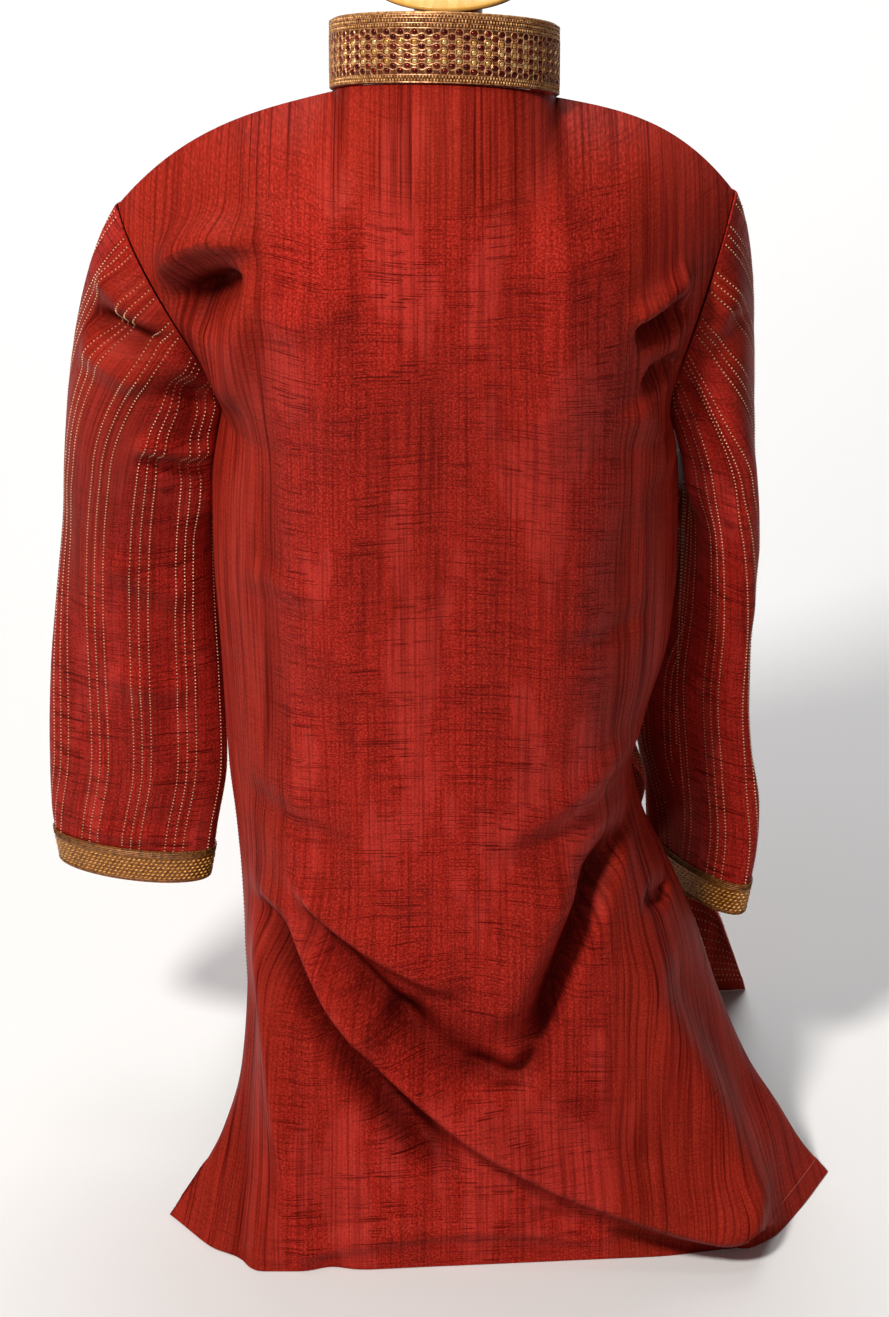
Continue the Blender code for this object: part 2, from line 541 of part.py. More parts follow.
revolve("form_base", [(BASE_R - 0.003, 0.0), (BASE_R, 0.003), (BASE_R, BASE_H * 0.55),
                      (BASE_R - 0.006, BASE_H * 0.8), (BASE_R * 0.4, BASE_H), (0.016, BASE_H)], 30,
        paint("base_wood", (190, 130, 70), 0.5))
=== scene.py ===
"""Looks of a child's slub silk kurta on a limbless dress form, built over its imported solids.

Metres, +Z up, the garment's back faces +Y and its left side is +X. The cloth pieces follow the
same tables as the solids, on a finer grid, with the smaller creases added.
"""

from math import pi, radians

import bpy
import numpy as np
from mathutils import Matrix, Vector


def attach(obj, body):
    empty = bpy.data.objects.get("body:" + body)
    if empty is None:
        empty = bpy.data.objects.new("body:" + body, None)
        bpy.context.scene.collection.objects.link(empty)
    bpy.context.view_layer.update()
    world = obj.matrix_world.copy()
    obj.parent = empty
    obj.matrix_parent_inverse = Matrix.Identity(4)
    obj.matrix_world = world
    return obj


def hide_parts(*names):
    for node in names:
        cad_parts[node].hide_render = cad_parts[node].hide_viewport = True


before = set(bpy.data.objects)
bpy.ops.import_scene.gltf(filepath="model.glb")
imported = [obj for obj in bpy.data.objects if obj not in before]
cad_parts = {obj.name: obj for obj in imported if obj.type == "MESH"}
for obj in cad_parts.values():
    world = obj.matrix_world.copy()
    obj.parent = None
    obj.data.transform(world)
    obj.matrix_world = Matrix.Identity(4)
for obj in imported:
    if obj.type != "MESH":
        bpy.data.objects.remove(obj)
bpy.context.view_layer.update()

# Driving dimensions, as in the part's source
CLOTH = 0.0010
SEAM_GAP, HEM_CLEAR = 0.0003, 0.0006
UNDERARM_Z, SLIT_TOP_Z = 0.530, 0.285
EDGE_FADE, EDGE_FOLD, YOKE_FADE = 0.16, 0.35, 0.35
GRAIN_FADE = 0.5                        # share of the yoke over which its grain turns straight
NECK_X, NECK_BACK_Y, NECK_FRONT_Y = 0.0612, 0.0535, -0.0600
NECK_Z, NECK_SLOPE, NECK_ROLL = 0.7195, 0.545, 0.03
NECK_SHARE = 0.40
SHOULDER = {1: (0.184, 0.652, 0.030), -1: (0.163, 0.660, 0.022)}
SHOULDER_ROUND = 3.2
SLEEVE_PUSH = {1: 0.062, -1: 0.040}
ARMHOLE_BULGE, ARMHOLE_GAP, ARMHOLE_GAP_TOP = 0.16, 0.0007, 0.0008
COLLAR_H, COLLAR_WALL, COLLAR_LEAN = 0.0375, 0.0016, 0.30
COLLAR_RISE, COLLAR_OUT, COLLAR_OPEN = 0.0007, 0.0012, radians(4.5)
RIBBON_LAY, RIBBON_WALL = 0.0004, 0.0005
CUFF_TRIM_H = 0.024
PLACKET_W, PLACKET_LAY, PLACKET_WALL = 0.028, 0.0006, 0.0012
PLACKET_TOP, PLACKET_END, FRONT_X_PER_U = 0.975, 0.10, 0.220
BUTTON_R, BUTTON_H, BUTTON_COUNT = 0.0045, 0.0024, 4
HEM_RUN = 0.10
FULL_SHADE_DEPTH = 0.016                       # a hollow this deep gets the darkest painted shade
HEM_TURN, HEM_STEP = 0.014, 0.0004      # the turned hem's height and how far it stands out
# Sewn lines
STITCH_PITCH, STITCH_LONG, STITCH_WIDE = 0.0025, 0.0013, 0.0011
STITCH_LIFT = 0.0001
GROUP_PITCH, GROUP_START, LINE_PITCH = 0.0275, 0.001, 0.0056
# Ribbons: sequins, rings and slanted beads with their length, width and height
RIBBON_EDGE, CORD_LIFT = 0.0003, 0.0003
SEQUIN_PITCH, SEQUIN_RISE, SEQUIN_FOOT = 0.0081, 0.0052, 0.0066
GLINT_GOLD_SEQUIN, MAROON_SEQUIN = (0.0030, 0.0030, 0.0014), (0.0030, 0.0030, 0.0012)
RING, COLLAR_BEAD = (0.0047, 0.0044, 0.0046), (0.00125, 0.0020, 0.0013)
DASH_PITCH, DASH_RISE, DASH_FOOT, DASH_SLANT = 0.0031, 0.0026, 0.0034, 0.45
DASH, CUFF_EDGE_BEAD = (0.0025, 0.0011, 0.0015), (0.0013, 0.0012, 0.0011)
COLLAR_CORD_R, CUFF_CORD_R = 0.00032, 0.00038
# Dress form
NECK_TOP, CAP_FOOT_R, CAP_STEM_R, CAP_STEM_TOP = 0.742, 0.034, 0.019, 0.7795
CAP_R, CAP_RIM, CAP_DOME, CAP_PLACE = 0.0430, 0.0034, 0.0060, (-0.002, -0.014, 0.0)
POLE_R, BASE_R, BASE_H, TORSO_BOTTOM = 0.011, 0.092, 0.016, 0.262


# Tables are in millimetres, apart from these columns; a value left out at a row's end is 1
PLAIN = ("sq_l", "sq_r", "turn", "steep", "share")


def table(columns, rows):
    made = {}
    for i, name in enumerate(columns.split()):
        column = np.array([float(r[i]) if i < len(r) else 1.0 for r in rows])
        made[name] = column if name in PLAIN else column / 1000
    return made


# Half widths, depths and slit edges of the two panels at each height above the floor
BODY = table("z left right back front bl_edge br_edge fl_edge fr_edge fl fr sq_l sq_r", [
    (0, 173, 245, 150, -178, 101, 59, -125, -135, 128, 205, 3.6, 2.4),
    (20, 159, 229, 145, -172, 95, 56, -118, -128, 126, 200, 3.3, 2.4),
    (50, 140, 210, 135, -165, 78, 46, -105, -116, 124, 192, 2.9, 2.4),
    (90, 129, 188, 123, -156, 60, 36, -85, -100, 122, 180, 2.6, 2.4),
    (130, 125.5, 171, 113, -148, 44, 27, -65, -84, 121, 158, 2.4, 2.4),
    (170, 124, 156.5, 109, -141, 30, 18, -45, -55, 121, 122, 2.3, 2.3),
    (210, 125.5, 139.5, 108, -134, 16, 10, -28, -32, 122, 122, 2.3, 2.3),
    (250, 128.5, 121, 107, -128, 6, 4, -12, -13, 126, 125, 2.3, 2.3),
    (285, 132, 114.5, 103, -122, 0, 0, 0, 0, 132, 114.5, 2.3, 2.3),
    (330, 133.5, 124, 99, -116, 0, 0, 0, 0, 133.5, 124, 2.3, 2.3),
    (380, 135, 135.5, 95, -113, 0, 0, 0, 0, 135, 135.5, 2.3, 2.3),
    (430, 137, 138, 95, -112, 0, 0, 0, 0, 137, 138, 2.3, 2.3),
    (480, 136, 137, 97, -111, 0, 0, 0, 0, 136, 137, 2.3, 2.3),
    (530, 129, 129, 99, -108, 0, 0, 0, 0, 129, 129, 2.3, 2.3),
    ])
HEM = {
    1: table("x y", [
        (-245, 59), (-224, 96), (-203, 125), (-178, 138), (-104, 143),
        (0, 150), (89, 155), (113, 155), (133, 144), (173, 101)]),
    -1: table("x y", [
        (-205, -135), (-178, -133), (-163, -139), (-145, -157), (-110, -172),
        (-50, -178), (60, -176), (100, -163), (120, -146), (128, -125)]),
}
# Sections of each sleeve below the armhole: middle, half size across and fore-and-aft, turn
SLEEVES = {
    1: table("z x y across deep turn", [
        (490, 180.5, -12, 43, 38, 0),
        (440, 183, -20, 45.5, 31, -2),
        (380, 186.5, -26, 49.5, 26, -4),
        (320, 189, -29, 54, 22, -6),
        (260, 191, -31, 56.5, 19, -9),
        (210, 195.5, -32, 53.5, 17, -12),
        (176, 196.5, -32, 48.7, 17, -13),
    ]),
    -1: table("z x y across deep turn", [
        (490, -158.5, -10, 17.5, 50, 16),
        (440, -159.2, -17, 14, 49, 24),
        (380, -157, -26, 13, 49, 33),
        (320, -153, -33, 14, 52, 40),
        (260, -157, -38, 14, 53, 42),
        (205, -162, -40, 14.5, 49, 40),
        (158, -160, -41, 15, 46, 36),
    ]),
}
# Folds: a curve from the first place (x, z) to the third, drawn towards the second, its half
# width, how far it stands out, and how much narrower it is on the right of its run
FOLD = "x0 z0 x1 z1 x2 z2 width height steep"
BACK_FOLDS = table(FOLD, [
    # the long swag from the left hip to the hem, its crisp end, and the hollow below it
    (-179, 12, 30, 64, 118, 249, 17, 22, 0.4),
    (-182, 2, -120, 6, -60, 30, 5, -6),
    (104, 216, 66, 116, -20, 52, 11, -26),
    (110, 226, 94, 186, 74, 140, 9, -16),
    # a second, higher one, and the trough between the two, wide and soft at its end
    (-20, 178, 45, 205, 98, 254, 13, 10, 0.5),
    (96, 230, 55, 192, 5, 136, 10, -16),
    (45, 162, 10, 135, -30, 108, 20, -14),
    # the pouch of the right hip: its straight hollow, its rounded foot and its fullness
    (-115, 274, -75, 205, -54, 118, 15, -21, 0.35),
    (-62, 140, -48, 102, -12, 132, 8, -12),
    (-80, 262, -48, 205, -30, 142, 20, 10),
    (-124, 220, -131, 208, -140, 206, 5, -6),
    # the flare of the right side
    (-107, 205, -154, 110, -185, 28, 14, 10),
    (-128, 180, -172, 110, -212, 40, 12, -7),
    (-76, 110, -110, 70, -132, 50, 12, -5),
    # the left side's upright ridge and the lower edge's two soft pleats
    (111, 214, 108, 130, 96, 34, 7, 9),
    (124, 170, 126, 100, 132, 0, 9, -6),
    (78, 110, 74, 60, 70, 0, 12, -4),
    # the bulge above the hem
    (85, 12, 0, 34, -100, 16, 7, 6),
    # left shoulder: the overhanging fold, the deep hollow under it, and the edge below
    (92, 668, 158, 660, 170, 596, 11, 18, 0.5),
    (170, 580, 150, 634, 104, 646, 14, -19, 0.4),
    (134, 636, 134, 620, 142, 598, 10, -6),
    (104, 654, 117, 605, 122, 540, 10, 8),
    # right armhole: two small folds and the fullness below them
    (-100, 618, -120, 624, -140, 640, 7, 7),
    (-104, 607, -122, 608, -140, 620, 8, -12),
    (-110, 577, -122, 571, -138, 584, 7, -10),
    (-104, 566, -120, 540, -130, 490, 10, 6),
    # long soft lines down the back, and a few short creases across it
    (3, 660, 2, 500, -3, 320, 10, -1.8),
    (50, 640, 60, 500, 66, 330, 22, 4.5),
    (-55, 630, -62, 480, -70, 330, 24, 4.5),
    (105, 560, 98, 440, 104, 300, 14, -4),
    (-104, 520, -98, 400, -100, 300, 14, -4),
    (-30, 660, -70, 655, -100, 665, 10, 2.2),
    (30, 650, 70, 640, 100, 610, 12, 3),
    (124, 450, 90, 440, 60, 452, 9, 2.2),
    (-126, 420, -95, 405, -60, 412, 9, -2),
    (-122, 330, -80, 300, -30, 290, 10, 3.5),
    (-118, 306, -70, 276, -20, 268, 9, -3),
    (126, 300, 90, 280, 50, 278, 10, -3),
    ])
FRONT_FOLDS = table(FOLD, [
    (70, 330, 85, 160, 96, 0, 20, 17),
    (40, 260, 50, 130, 52, 0, 17, -12),
    (12, 360, 5, 170, 4, 0, 21, 15),
    (-30, 280, -44, 140, -50, 0, 18, -13),
    (-60, 340, -85, 160, -104, 0, 21, 15),
    (-90, 260, -124, 120, -150, 0, 18, -10),
    (100, 600, 80, 560, 50, 520, 16, 4),
    (-100, 600, -80, 560, -50, 520, 16, 4),
    (112, 560, 90, 520, 60, 500, 8, -4),
    (-112, 560, -90, 520, -60, 500, 8, -4),
    (110, 640, 95, 610, 70, 590, 8, 3),
    (-110, 645, -95, 610, -72, 600, 8, 3),
    (90, 420, 50, 405, 20, 415, 9, 1.8),
    (-95, 460, -60, 450, -30, 458, 9, 1.8),
    ])
# Creases of the sleeves, as lengths around from the underarm seam (the back side first) and height
SLEEVE_FOLDS = {
    1: table(FOLD, [
        (145, 622, 115, 616, 80, 598, 8, 11),
        (134, 594, 108, 594, 74, 582, 7, -13),
        (130, 575, 100, 572, 70, 556, 9, 5),
        (80, 588, 60, 570, 30, 560, 8, 5),
        (70, 562, 50, 546, 20, 540, 8, -6),
        (70, 520, 48, 506, 12, 500, 6, 4),
        (66, 508, 44, 494, 12, 486, 6, -4),
        (75, 430, 55, 400, 20, 390, 10, 3),
        (80, 340, 50, 320, 18, 330, 10, 3),
        (110, 480, 104, 380, 96, 250, 12, -2.5),
        (56, 400, 52, 300, 46, 210, 10, 3),
        (18, 565, 15, 500, 15, 430, 12, 6.5),
        (90, 212, 60, 206, 28, 214, 5, 2),
        (180, 610, 200, 590, 230, 585, 10, 5),
        (185, 588, 205, 566, 235, 566, 9, -5),
    ]),
    -1: table(FOLD, [
        (120, 628, 105, 606, 80, 590, 9, 4),
        (16, 580, 14, 515, 14, 440, 12, 7),
        (112, 606, 96, 590, 72, 576, 8, -4),
        (40, 580, 46, 520, 50, 460, 9, -4),
        (60, 560, 66, 480, 70, 400, 9, 3),
        (50, 400, 58, 330, 66, 240, 11, -3),
        (90, 340, 94, 270, 96, 200, 9, 3),
        (200, 600, 220, 580, 250, 575, 10, 4),
        (170, 450, 190, 430, 220, 440, 9, 3),
    ]),
}
TORSO = table("z wide deep y", [
    (262, 95, 72, -10), (266, 102, 78, -10), (300, 106, 82, -10),
    (360, 104, 80, -10), (430, 108, 84, -8), (500, 116, 89, -6),
    (560, 119, 91, -3), (610, 123, 86, 1), (645, 127, 75, 8),
    (670, 128, 59, 12), (685, 123, 46, 13), (695, 111, 36, 11),
    (703, 94, 29, 10), (709, 76.5, 26.8, 7.8), (713.5, 56, 26, 6),
    (726, 43, 36, -5), (742, 41, 36, -10)])
TORSO_SQUARE = 2.2
# How strongly each panel turns forward (or back) and up as it comes to its top row
YOKE = table("share back back_rise front front_rise", [
    (0, 220, 120, 120, 120),
    (0.2, 260, 105, 140, 120),
    (0.4, 400, 60, 180, 115),
    (0.6, 380, 35, 180, 100),
    (0.8, 280, 30, 170, 80),
    (1, 170, 30, 160, 30),
])


# Curves and the cloth's form, as in the part's source
def smooth_at(xs, ys, x):
    """Monotone cubic through (xs, ys), read at x."""
    h = np.diff(xs)
    d = np.diff(ys) / h
    m = np.concatenate([[d[0]], np.where(d[:-1] * d[1:] > 0,
                        2 * d[:-1] * d[1:] / (d[:-1] + d[1:] + 1e-30), 0.0), [d[-1]]])
    x = np.clip(np.asarray(x, float), xs[0], xs[-1])
    i = np.clip(np.searchsorted(xs, x, side="right") - 1, 0, len(h) - 1)
    t = (x - xs[i]) / h[i]
    return ((2 * t ** 3 - 3 * t ** 2 + 1) * ys[i] + (t ** 3 - 2 * t ** 2 + t) * h[i] * m[i]
            + (3 * t ** 2 - 2 * t ** 3) * ys[i + 1] + (t ** 3 - t ** 2) * h[i] * m[i + 1])


def at(tab, column, z):
    order = np.argsort(tab["z"])
    return smooth_at(tab["z"][order], tab[column][order], z)


def ease(t):
    t = np.clip(t, 0.0, 1.0)
    return t * t * (3 - 2 * t)


def hermite(p0, m0, p1, m1, t):
    return ((2 * t ** 3 - 3 * t ** 2 + 1) * p0 + (t ** 3 - 2 * t ** 2 + t) * m0
            + (3 * t ** 2 - 2 * t ** 3) * p1 + (t ** 3 - t ** 2) * m1)


def stack(*xyz):
    return np.stack(np.broadcast_arrays(*xyz), axis=-1).astype(float)


def level(u, z, face):
    """Panel at height z, u from -1 (right side) to 1 (left side); face 1 back, -1 front."""
    left, right, depth, le, re = (("left", "right", "back", "bl_edge", "br_edge") if face > 0
                                  else ("fl", "fr", "front", "fl_edge", "fr_edge"))
    s = np.abs(np.sin(u * pi / 2))

    def of(on_left, on_right, z):
        return np.where(u > 0, at(BODY, on_left, z), at(BODY, on_right, z))

    def plain_y(z):
        edge, n = of(le, re, z), of("sq_l", "sq_r", z)
        return edge + (at(BODY, depth, z) - edge) * (1 - s ** n) ** (1 / n)

    hem_x = np.sign(u) * s * of(left, right, 0)
    foot = ease(1 - np.asarray(z) / HEM_RUN)
    y = plain_y(z) + (smooth_at(HEM[face]["x"], HEM[face]["y"], hem_x) - plain_y(0)) * foot
    return stack(np.sign(u) * of(left, right, z) * s, y, z)


def top_row(u, face):
    """Neckline in the middle of the row, a shoulder seam at each side."""
    a = np.abs(u)
    phi = np.clip(a / NECK_SHARE, 0, 1) * pi / 2
    neck_y = (NECK_BACK_Y if face > 0 else NECK_FRONT_Y) * np.cos(phi)
    side = np.where(u > 0, 1, -1)
    tip_x, tip_z, straight = (np.where(u > 0, p, q) for p, q in zip(SHOULDER[1], SHOULDER[-1]))
    s = np.clip((a - NECK_SHARE) / (1 - NECK_SHARE), 0, 1)
    x = np.where(a < NECK_SHARE, NECK_X * np.sin(phi), NECK_X + (tip_x - NECK_X) * s)
    drop = straight * s + (NECK_Z - tip_z - straight) * s ** SHOULDER_ROUND
    z = NECK_Z + NECK_ROLL * NECK_X * side * np.sin(phi) * (1 - s)
    z = z + np.where(a < NECK_SHARE, NECK_SLOPE * neck_y, -drop)
    return stack(side * x, np.where(a < NECK_SHARE, neck_y, 0.0), z)


def soft_top(u, t, face):
    """Top row, its corners rounded off as t goes down from 1."""
    spread = 0.42 * (1 - t) ** 0.6 * ease((1 - np.abs(u)) / 0.4)
    steps = np.linspace(-1, 1, 11)
    weights = np.cos(steps * pi / 2) + 0.05
    rows = [top_row(u + spread * k, face) * w for k, w in zip(steps, weights)]
    return sum(rows) / weights.sum()


def upper(u, t, face):
    """Panel above the underarm, t from 0 to 1 at the neckline and shoulder seams."""
    bottom = level(u, np.full_like(u, UNDERARM_Z), face)
    top = soft_top(u, t, face)
    a = np.abs(u)
    e = ease((a - 0.45) / 0.55)
    side = np.sign(u)
    m0 = stack(side * 0.01 * e, face * (0.012 + ARMHOLE_BULGE * e ** 2), 0.19 - 0.06 * e)
    pull, rise = ("back", "back_rise") if face > 0 else ("front", "front_rise")
    m1 = stack(side * 0.03 * e, -face * smooth_at(YOKE["share"], YOKE[pull], a),
               smooth_at(YOKE["share"], YOKE[rise], a))
    return hermite(bottom, m0, top, m1, t[..., None])


def fold_height(folds, x, z):
    """How far the folds lift the cloth at the place (x, z)."""
    out = np.zeros_like(x)
    s = np.linspace(0, 1, 41)
    for i in range(len(folds["x0"])):
        f = {k: v[i] for k, v in folds.items()}
        cx, cz = ((1 - s) ** 2 * f[k + "0"] + 2 * s * (1 - s) * f[k + "1"] + s ** 2 * f[k + "2"]
                  for k in "xz")
        near = np.full(x.shape, 1e9)
        run = np.zeros_like(x)
        right = np.zeros_like(x)
        for k in range(len(s) - 1):
            dx, dz = cx[k + 1] - cx[k], cz[k + 1] - cz[k]
            t = np.clip(((x - cx[k]) * dx + (z - cz[k]) * dz) / (dx * dx + dz * dz), 0, 1)
            ox, oz = x - cx[k] - t * dx, z - cz[k] - t * dz
            d = np.hypot(ox, oz)
            closer = d < near
            near = np.where(closer, d, near)
            run = np.where(closer, (k + t) / (len(s) - 1), run)
            right = np.where(closer, dx * oz - dz * ox < 0, right)
        fade = ease(run / 0.25) if f["z0"] > 0.03 else 1.0
        fade = fade * (ease((1 - run) / 0.25) if f["z2"] > 0.03 else 1.0)
        width = f["width"] * np.where(right, f["steep"], 1.0)
        out += f["height"] * np.exp(-(near / width) ** 2) * fade
    return out


def unit(v):
    return v / np.linalg.norm(v, axis=-1, keepdims=True)


def normals(p, closed=False):
    """Unit normals of a grid of points; a closed grid's last column repeats its first."""
    g = p[:, :-1] if closed else p
    across = (np.roll(g, -1, 1) - np.roll(g, 1, 1)) if closed else np.gradient(g, axis=1)
    n = unit(np.cross(across, np.gradient(g, axis=0)))
    return np.concatenate([n, n[:, :1]], 1) if closed else n


def along(p, axis):
    """Length run along a grid of points."""
    step = np.linalg.norm(np.diff(p, axis=axis), axis=-1)
    return np.concatenate([np.zeros_like(np.take(step, [0], axis)), np.cumsum(step, axis)], axis)


class Cloth:
    """A piece of cloth: its outer and inner points, and each point's place on the flat piece."""

    def __init__(self, outer, normal, thick, u=None, v=None, lift=0.0):
        self.outer, self.normal = outer, normal
        self.u = along(outer, 1) if u is None else u
        self.v = along(outer, 0) if v is None else v
        self.inner = outer - normal * thick
        # painted shade: the colour darkens in fold hollows and on fold undersides facing down,
        # where shade falls; deep holds how much
        hollow = np.clip(-np.asarray(lift) / FULL_SHADE_DEPTH, 0, 1)
        under = np.clip(-normal[..., 2] / 0.7, 0, 1) * (np.asarray(lift) != 0)
        self.deep = np.clip(0.62 * hollow + 0.5 * under, 0, 0.85) + np.zeros_like(self.u)


def panel(face, cols, rows_low, rows_up):
    u = np.linspace(-1, 1, cols)
    z = UNDERARM_Z * np.linspace(0, 1, rows_low) ** 1.12
    uu, zz = np.meshgrid(u, z)
    low = level(uu, zz, face)
    tt = np.meshgrid(u, np.linspace(0, 1, rows_up + 1)[1:])[1]
    up = upper(np.tile(u, (rows_up, 1)), tt, face)
    p = np.concatenate([low, up])
    flat_u = along(p, 1)
    middle = cols // 2
    flat_u = flat_u - flat_u[:, [middle]]
    flat_v = along(p, 0)
    # above the underarm the threads run straight up and level, across the grid's own lines
    over = ease(np.concatenate([np.zeros_like(low[..., 0]), tt]) / GRAIN_FADE)
    height, crown = p[:, middle, 2], p[-1, middle, 2]
    even_v = np.interp(p[..., 2], height, flat_v[:, middle])
    even_v = even_v + 1.2 * np.maximum(p[..., 2] - crown, 0)
    flat_u = flat_u * (1 - over) + 1.04 * p[..., 0] * over
    flat_v = flat_v * (1 - over) + even_v * over
    n = normals(p) * -face
    folds = BACK_FOLDS if face > 0 else FRONT_FOLDS
    lift = fold_height(folds, p[..., 0], p[..., 2])
    rise = p[..., 2]
    in_u = ease((1 - np.abs(np.tile(u, (len(p), 1)))) / EDGE_FADE)
    hold = np.where(rise > SLIT_TOP_Z, in_u, EDGE_FOLD + (1 - EDGE_FOLD) * in_u)
    last = np.arange(len(p))[::-1][:, None] / rows_up
    hold = hold * ease(last / YOKE_FADE)
    hem = HEM_STEP * (1 - ease((flat_v - HEM_TURN) / 0.002 + 0.5))
    p = p + n * (lift * hold + hem)[..., None]
    p[0, :, 2] = 0.0
    n = normals(p) * -face
    seam = SEAM_GAP / 2 * face
    side_rows = rise[:, 0] >= SLIT_TOP_Z - 1e-6
    side_rows[rows_low:] = False
    for c in (0, -1):
        n[side_rows, c, 1] = 0
        p[side_rows, c, 1] = seam
    shoulder = np.abs(u) >= NECK_SHARE - 1e-6
    n[-1, shoulder, 1] = 0
    p[-1, shoulder, 1] = seam
    n = unit(n)
    p[..., 2] += HEM_CLEAR * ease(1 - p[..., 2] / 0.05)
    made = Cloth(p, n, CLOTH, flat_u, flat_v, lift * hold)
    made.inner[..., 2] = np.maximum(made.inner[..., 2], HEM_CLEAR * 0.7)
    return made


def armhole(side, count):
    t = np.linspace(0, 1, count // 2 + 1)
    u = np.full_like(t, float(side))
    return np.concatenate([upper(u, t, 1), upper(u, t, -1)[-2:0:-1]])


def sleeve(side, around, head_rows, rows):
    """Row 0 is at the armhole, and the columns start and end at the underarm seam."""
    tab = SLEEVES[side]
    th = np.arange(around + 1) * 2 * pi / around

    def section(z):
        ax, dp = at(tab, "across", z), at(tab, "deep", z)
        turn = np.radians(at(tab, "turn", z)) * side * -1
        lx, ly = -np.cos(th) * ax * side, np.sin(th) * dp
        x = at(tab, "x", z) + lx * np.cos(turn) + ly * np.sin(turn) * side
        y = at(tab, "y", z) - lx * np.sin(turn) * side + ly * np.cos(turn)
        return stack(x, y, z)

    loop = armhole(side, around)
    loop = np.concatenate([loop, loop[:1]])
    up_share = (1 - np.cos(th)) / 2
    loop[:, 0] += side * (ARMHOLE_GAP + ARMHOLE_GAP_TOP * up_share)
    z0, z1 = tab["z"].max(), tab["z"].min()
    first, second = section(z0), section(z0 - 0.01)
    m0 = stack(side * (0.012 + SLEEVE_PUSH[side] * up_share), np.sin(th) * 0.02,
               -0.02 - 0.10 * up_share)
    m1 = (second - first) / 0.01 * (0.03 + 0.11 * up_share)[:, None]
    t = np.linspace(0, 1, head_rows + 1)[:, None, None]
    below = np.stack([section(z) for z in np.linspace(z0, z1, rows + 1)[1:]])
    p = np.concatenate([hermite(loop, m0, first, m1, t), below])
    flat_u = along(p, 1)
    flat_v = along(p, 0)
    flat_v = flat_v.max(0) - flat_v
    n = normals(p, closed=True) * side
    lift = fold_height(SLEEVE_FOLDS[side], flat_u, p[..., 2])
    lift = lift * ease(np.arange(len(p)) / (head_rows * 0.3))[:, None]
    lift = lift * ease(np.minimum(flat_u, flat_u.max(1, keepdims=True) - flat_u) / 0.01)
    p = p + n * lift[..., None]
    return Cloth(p, normals(p, closed=True) * side, CLOTH, flat_u, flat_v, lift)


def collar_place(phi, h, out):
    x = (NECK_X + COLLAR_OUT + out) * np.sin(phi)
    ry = np.where(np.cos(phi) > 0, NECK_BACK_Y, -NECK_FRONT_Y) + COLLAR_OUT + out
    y = ry * np.cos(phi)
    base_z = NECK_Z + NECK_SLOPE * (y - (COLLAR_OUT + out) * np.cos(phi)) + NECK_ROLL * x
    lean = h / np.hypot(1, COLLAR_LEAN)
    return stack(x, y - COLLAR_LEAN * lean, base_z + COLLAR_RISE + lean)


def collar_angles(count):
    return np.linspace(-pi + COLLAR_OPEN, pi - COLLAR_OPEN, count)


def collar_grid(cols, rows, inset=0.0, out=0.0):
    phi, h = np.meshgrid(collar_angles(cols), np.linspace(inset, COLLAR_H - inset, rows))
    return collar_place(phi, h, out)


def on_front(x, t, out):
    u = np.asarray(x) / FRONT_X_PER_U
    u, t = np.broadcast_arrays(u.astype(float), np.asarray(t, float))
    step = 1e-3
    p = upper(u, t, -1)
    n = unit(np.cross(upper(u + step, t, -1) - upper(u - step, t, -1),
                      upper(u, np.minimum(t + step, 1), -1) - upper(u, t - step, -1)))
    return p + n * out, n


# Meshes
def placed(name, data):
    obj = bpy.data.objects.new(name, data)
    bpy.context.scene.collection.objects.link(obj)
    return obj


def mesh_object(name, verts, faces, material):
    mesh = bpy.data.meshes.new(name)
    mesh.from_pydata(verts.tolist(), [], faces.tolist() if hasattr(faces, "tolist") else faces)
    mesh.shade_smooth()
    mesh.set_sharp_from_angle(angle=radians(50))
    mesh.materials.append(material)
    obj = placed(name, mesh)
    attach(obj, "root")
    return obj


def wall(name, cloth, material, flip=False):
    """Closed thin body between a cloth's outer and inner points."""
    rows, cols = cloth.outer.shape[:2]
    half = rows * cols
    verts = np.concatenate([cloth.outer.reshape(-1, 3), cloth.inner.reshape(-1, 3)])
    idx = np.arange(half).reshape(rows, cols)
    a, b, c, d = idx[:-1, :-1], idx[:-1, 1:], idx[1:, 1:], idx[1:, :-1]
    front = np.stack([a, b, c, d], -1).reshape(-1, 4)
    edges = [(e[:-1], e[1:]) for e in (idx[0, ::-1], idx[-1], idx[:, 0], idx[::-1, -1])]
    rim = [np.stack([i + half, j + half, j, i], -1) for i, j in edges]
    faces = np.concatenate([front, front[:, ::-1] + half, *rim])
    if flip:
        faces = faces[:, ::-1]
    obj = mesh_object(name, verts, faces, material)
    flat = np.stack([cloth.u, cloth.v, np.zeros_like(cloth.u)], -1).reshape(-1, 3)
    attribute = obj.data.attributes.new("cloth", "FLOAT_VECTOR", "POINT")
    attribute.data.foreach_set("vector", np.concatenate([flat, flat]).astype(np.float32).ravel())
    # painted fold shade, which darkens the silk's colour
    attribute = obj.data.attributes.new("deep", "FLOAT", "POINT")
    attribute.data.foreach_set("value", np.tile(cloth.deep.ravel(), 2).astype(np.float32))
    return obj


def scatter(name, template, places, axes, material):
    """Many copies of one small form as one mesh; axes holds each copy's three scaled axes."""
    tv, tf = template
    verts = places[:, None, :] + np.einsum("vk,nkj->nvj", tv, axes)
    shift = (np.arange(len(places)) * len(tv))[:, None, None]
    faces = tf[None] + shift
    return mesh_object(name, verts.reshape(-1, 3), faces.reshape(-1, tf.shape[1]), material)


def spindle():
    """Thread lying between two needle holes."""
    v = np.array([(-0.5, 0, -0.3), (0.5, 0, -0.3), (0, 0.5, 0), (0, 0, 0.5), (0, -0.5, 0),
                  (0, 0, -0.5)])
    f = np.array([(0, 3, 2), (0, 4, 3), (1, 2, 3), (1, 3, 4), (0, 2, 5), (0, 5, 4), (1, 5, 2),
                  (1, 4, 5)])
    return v, f


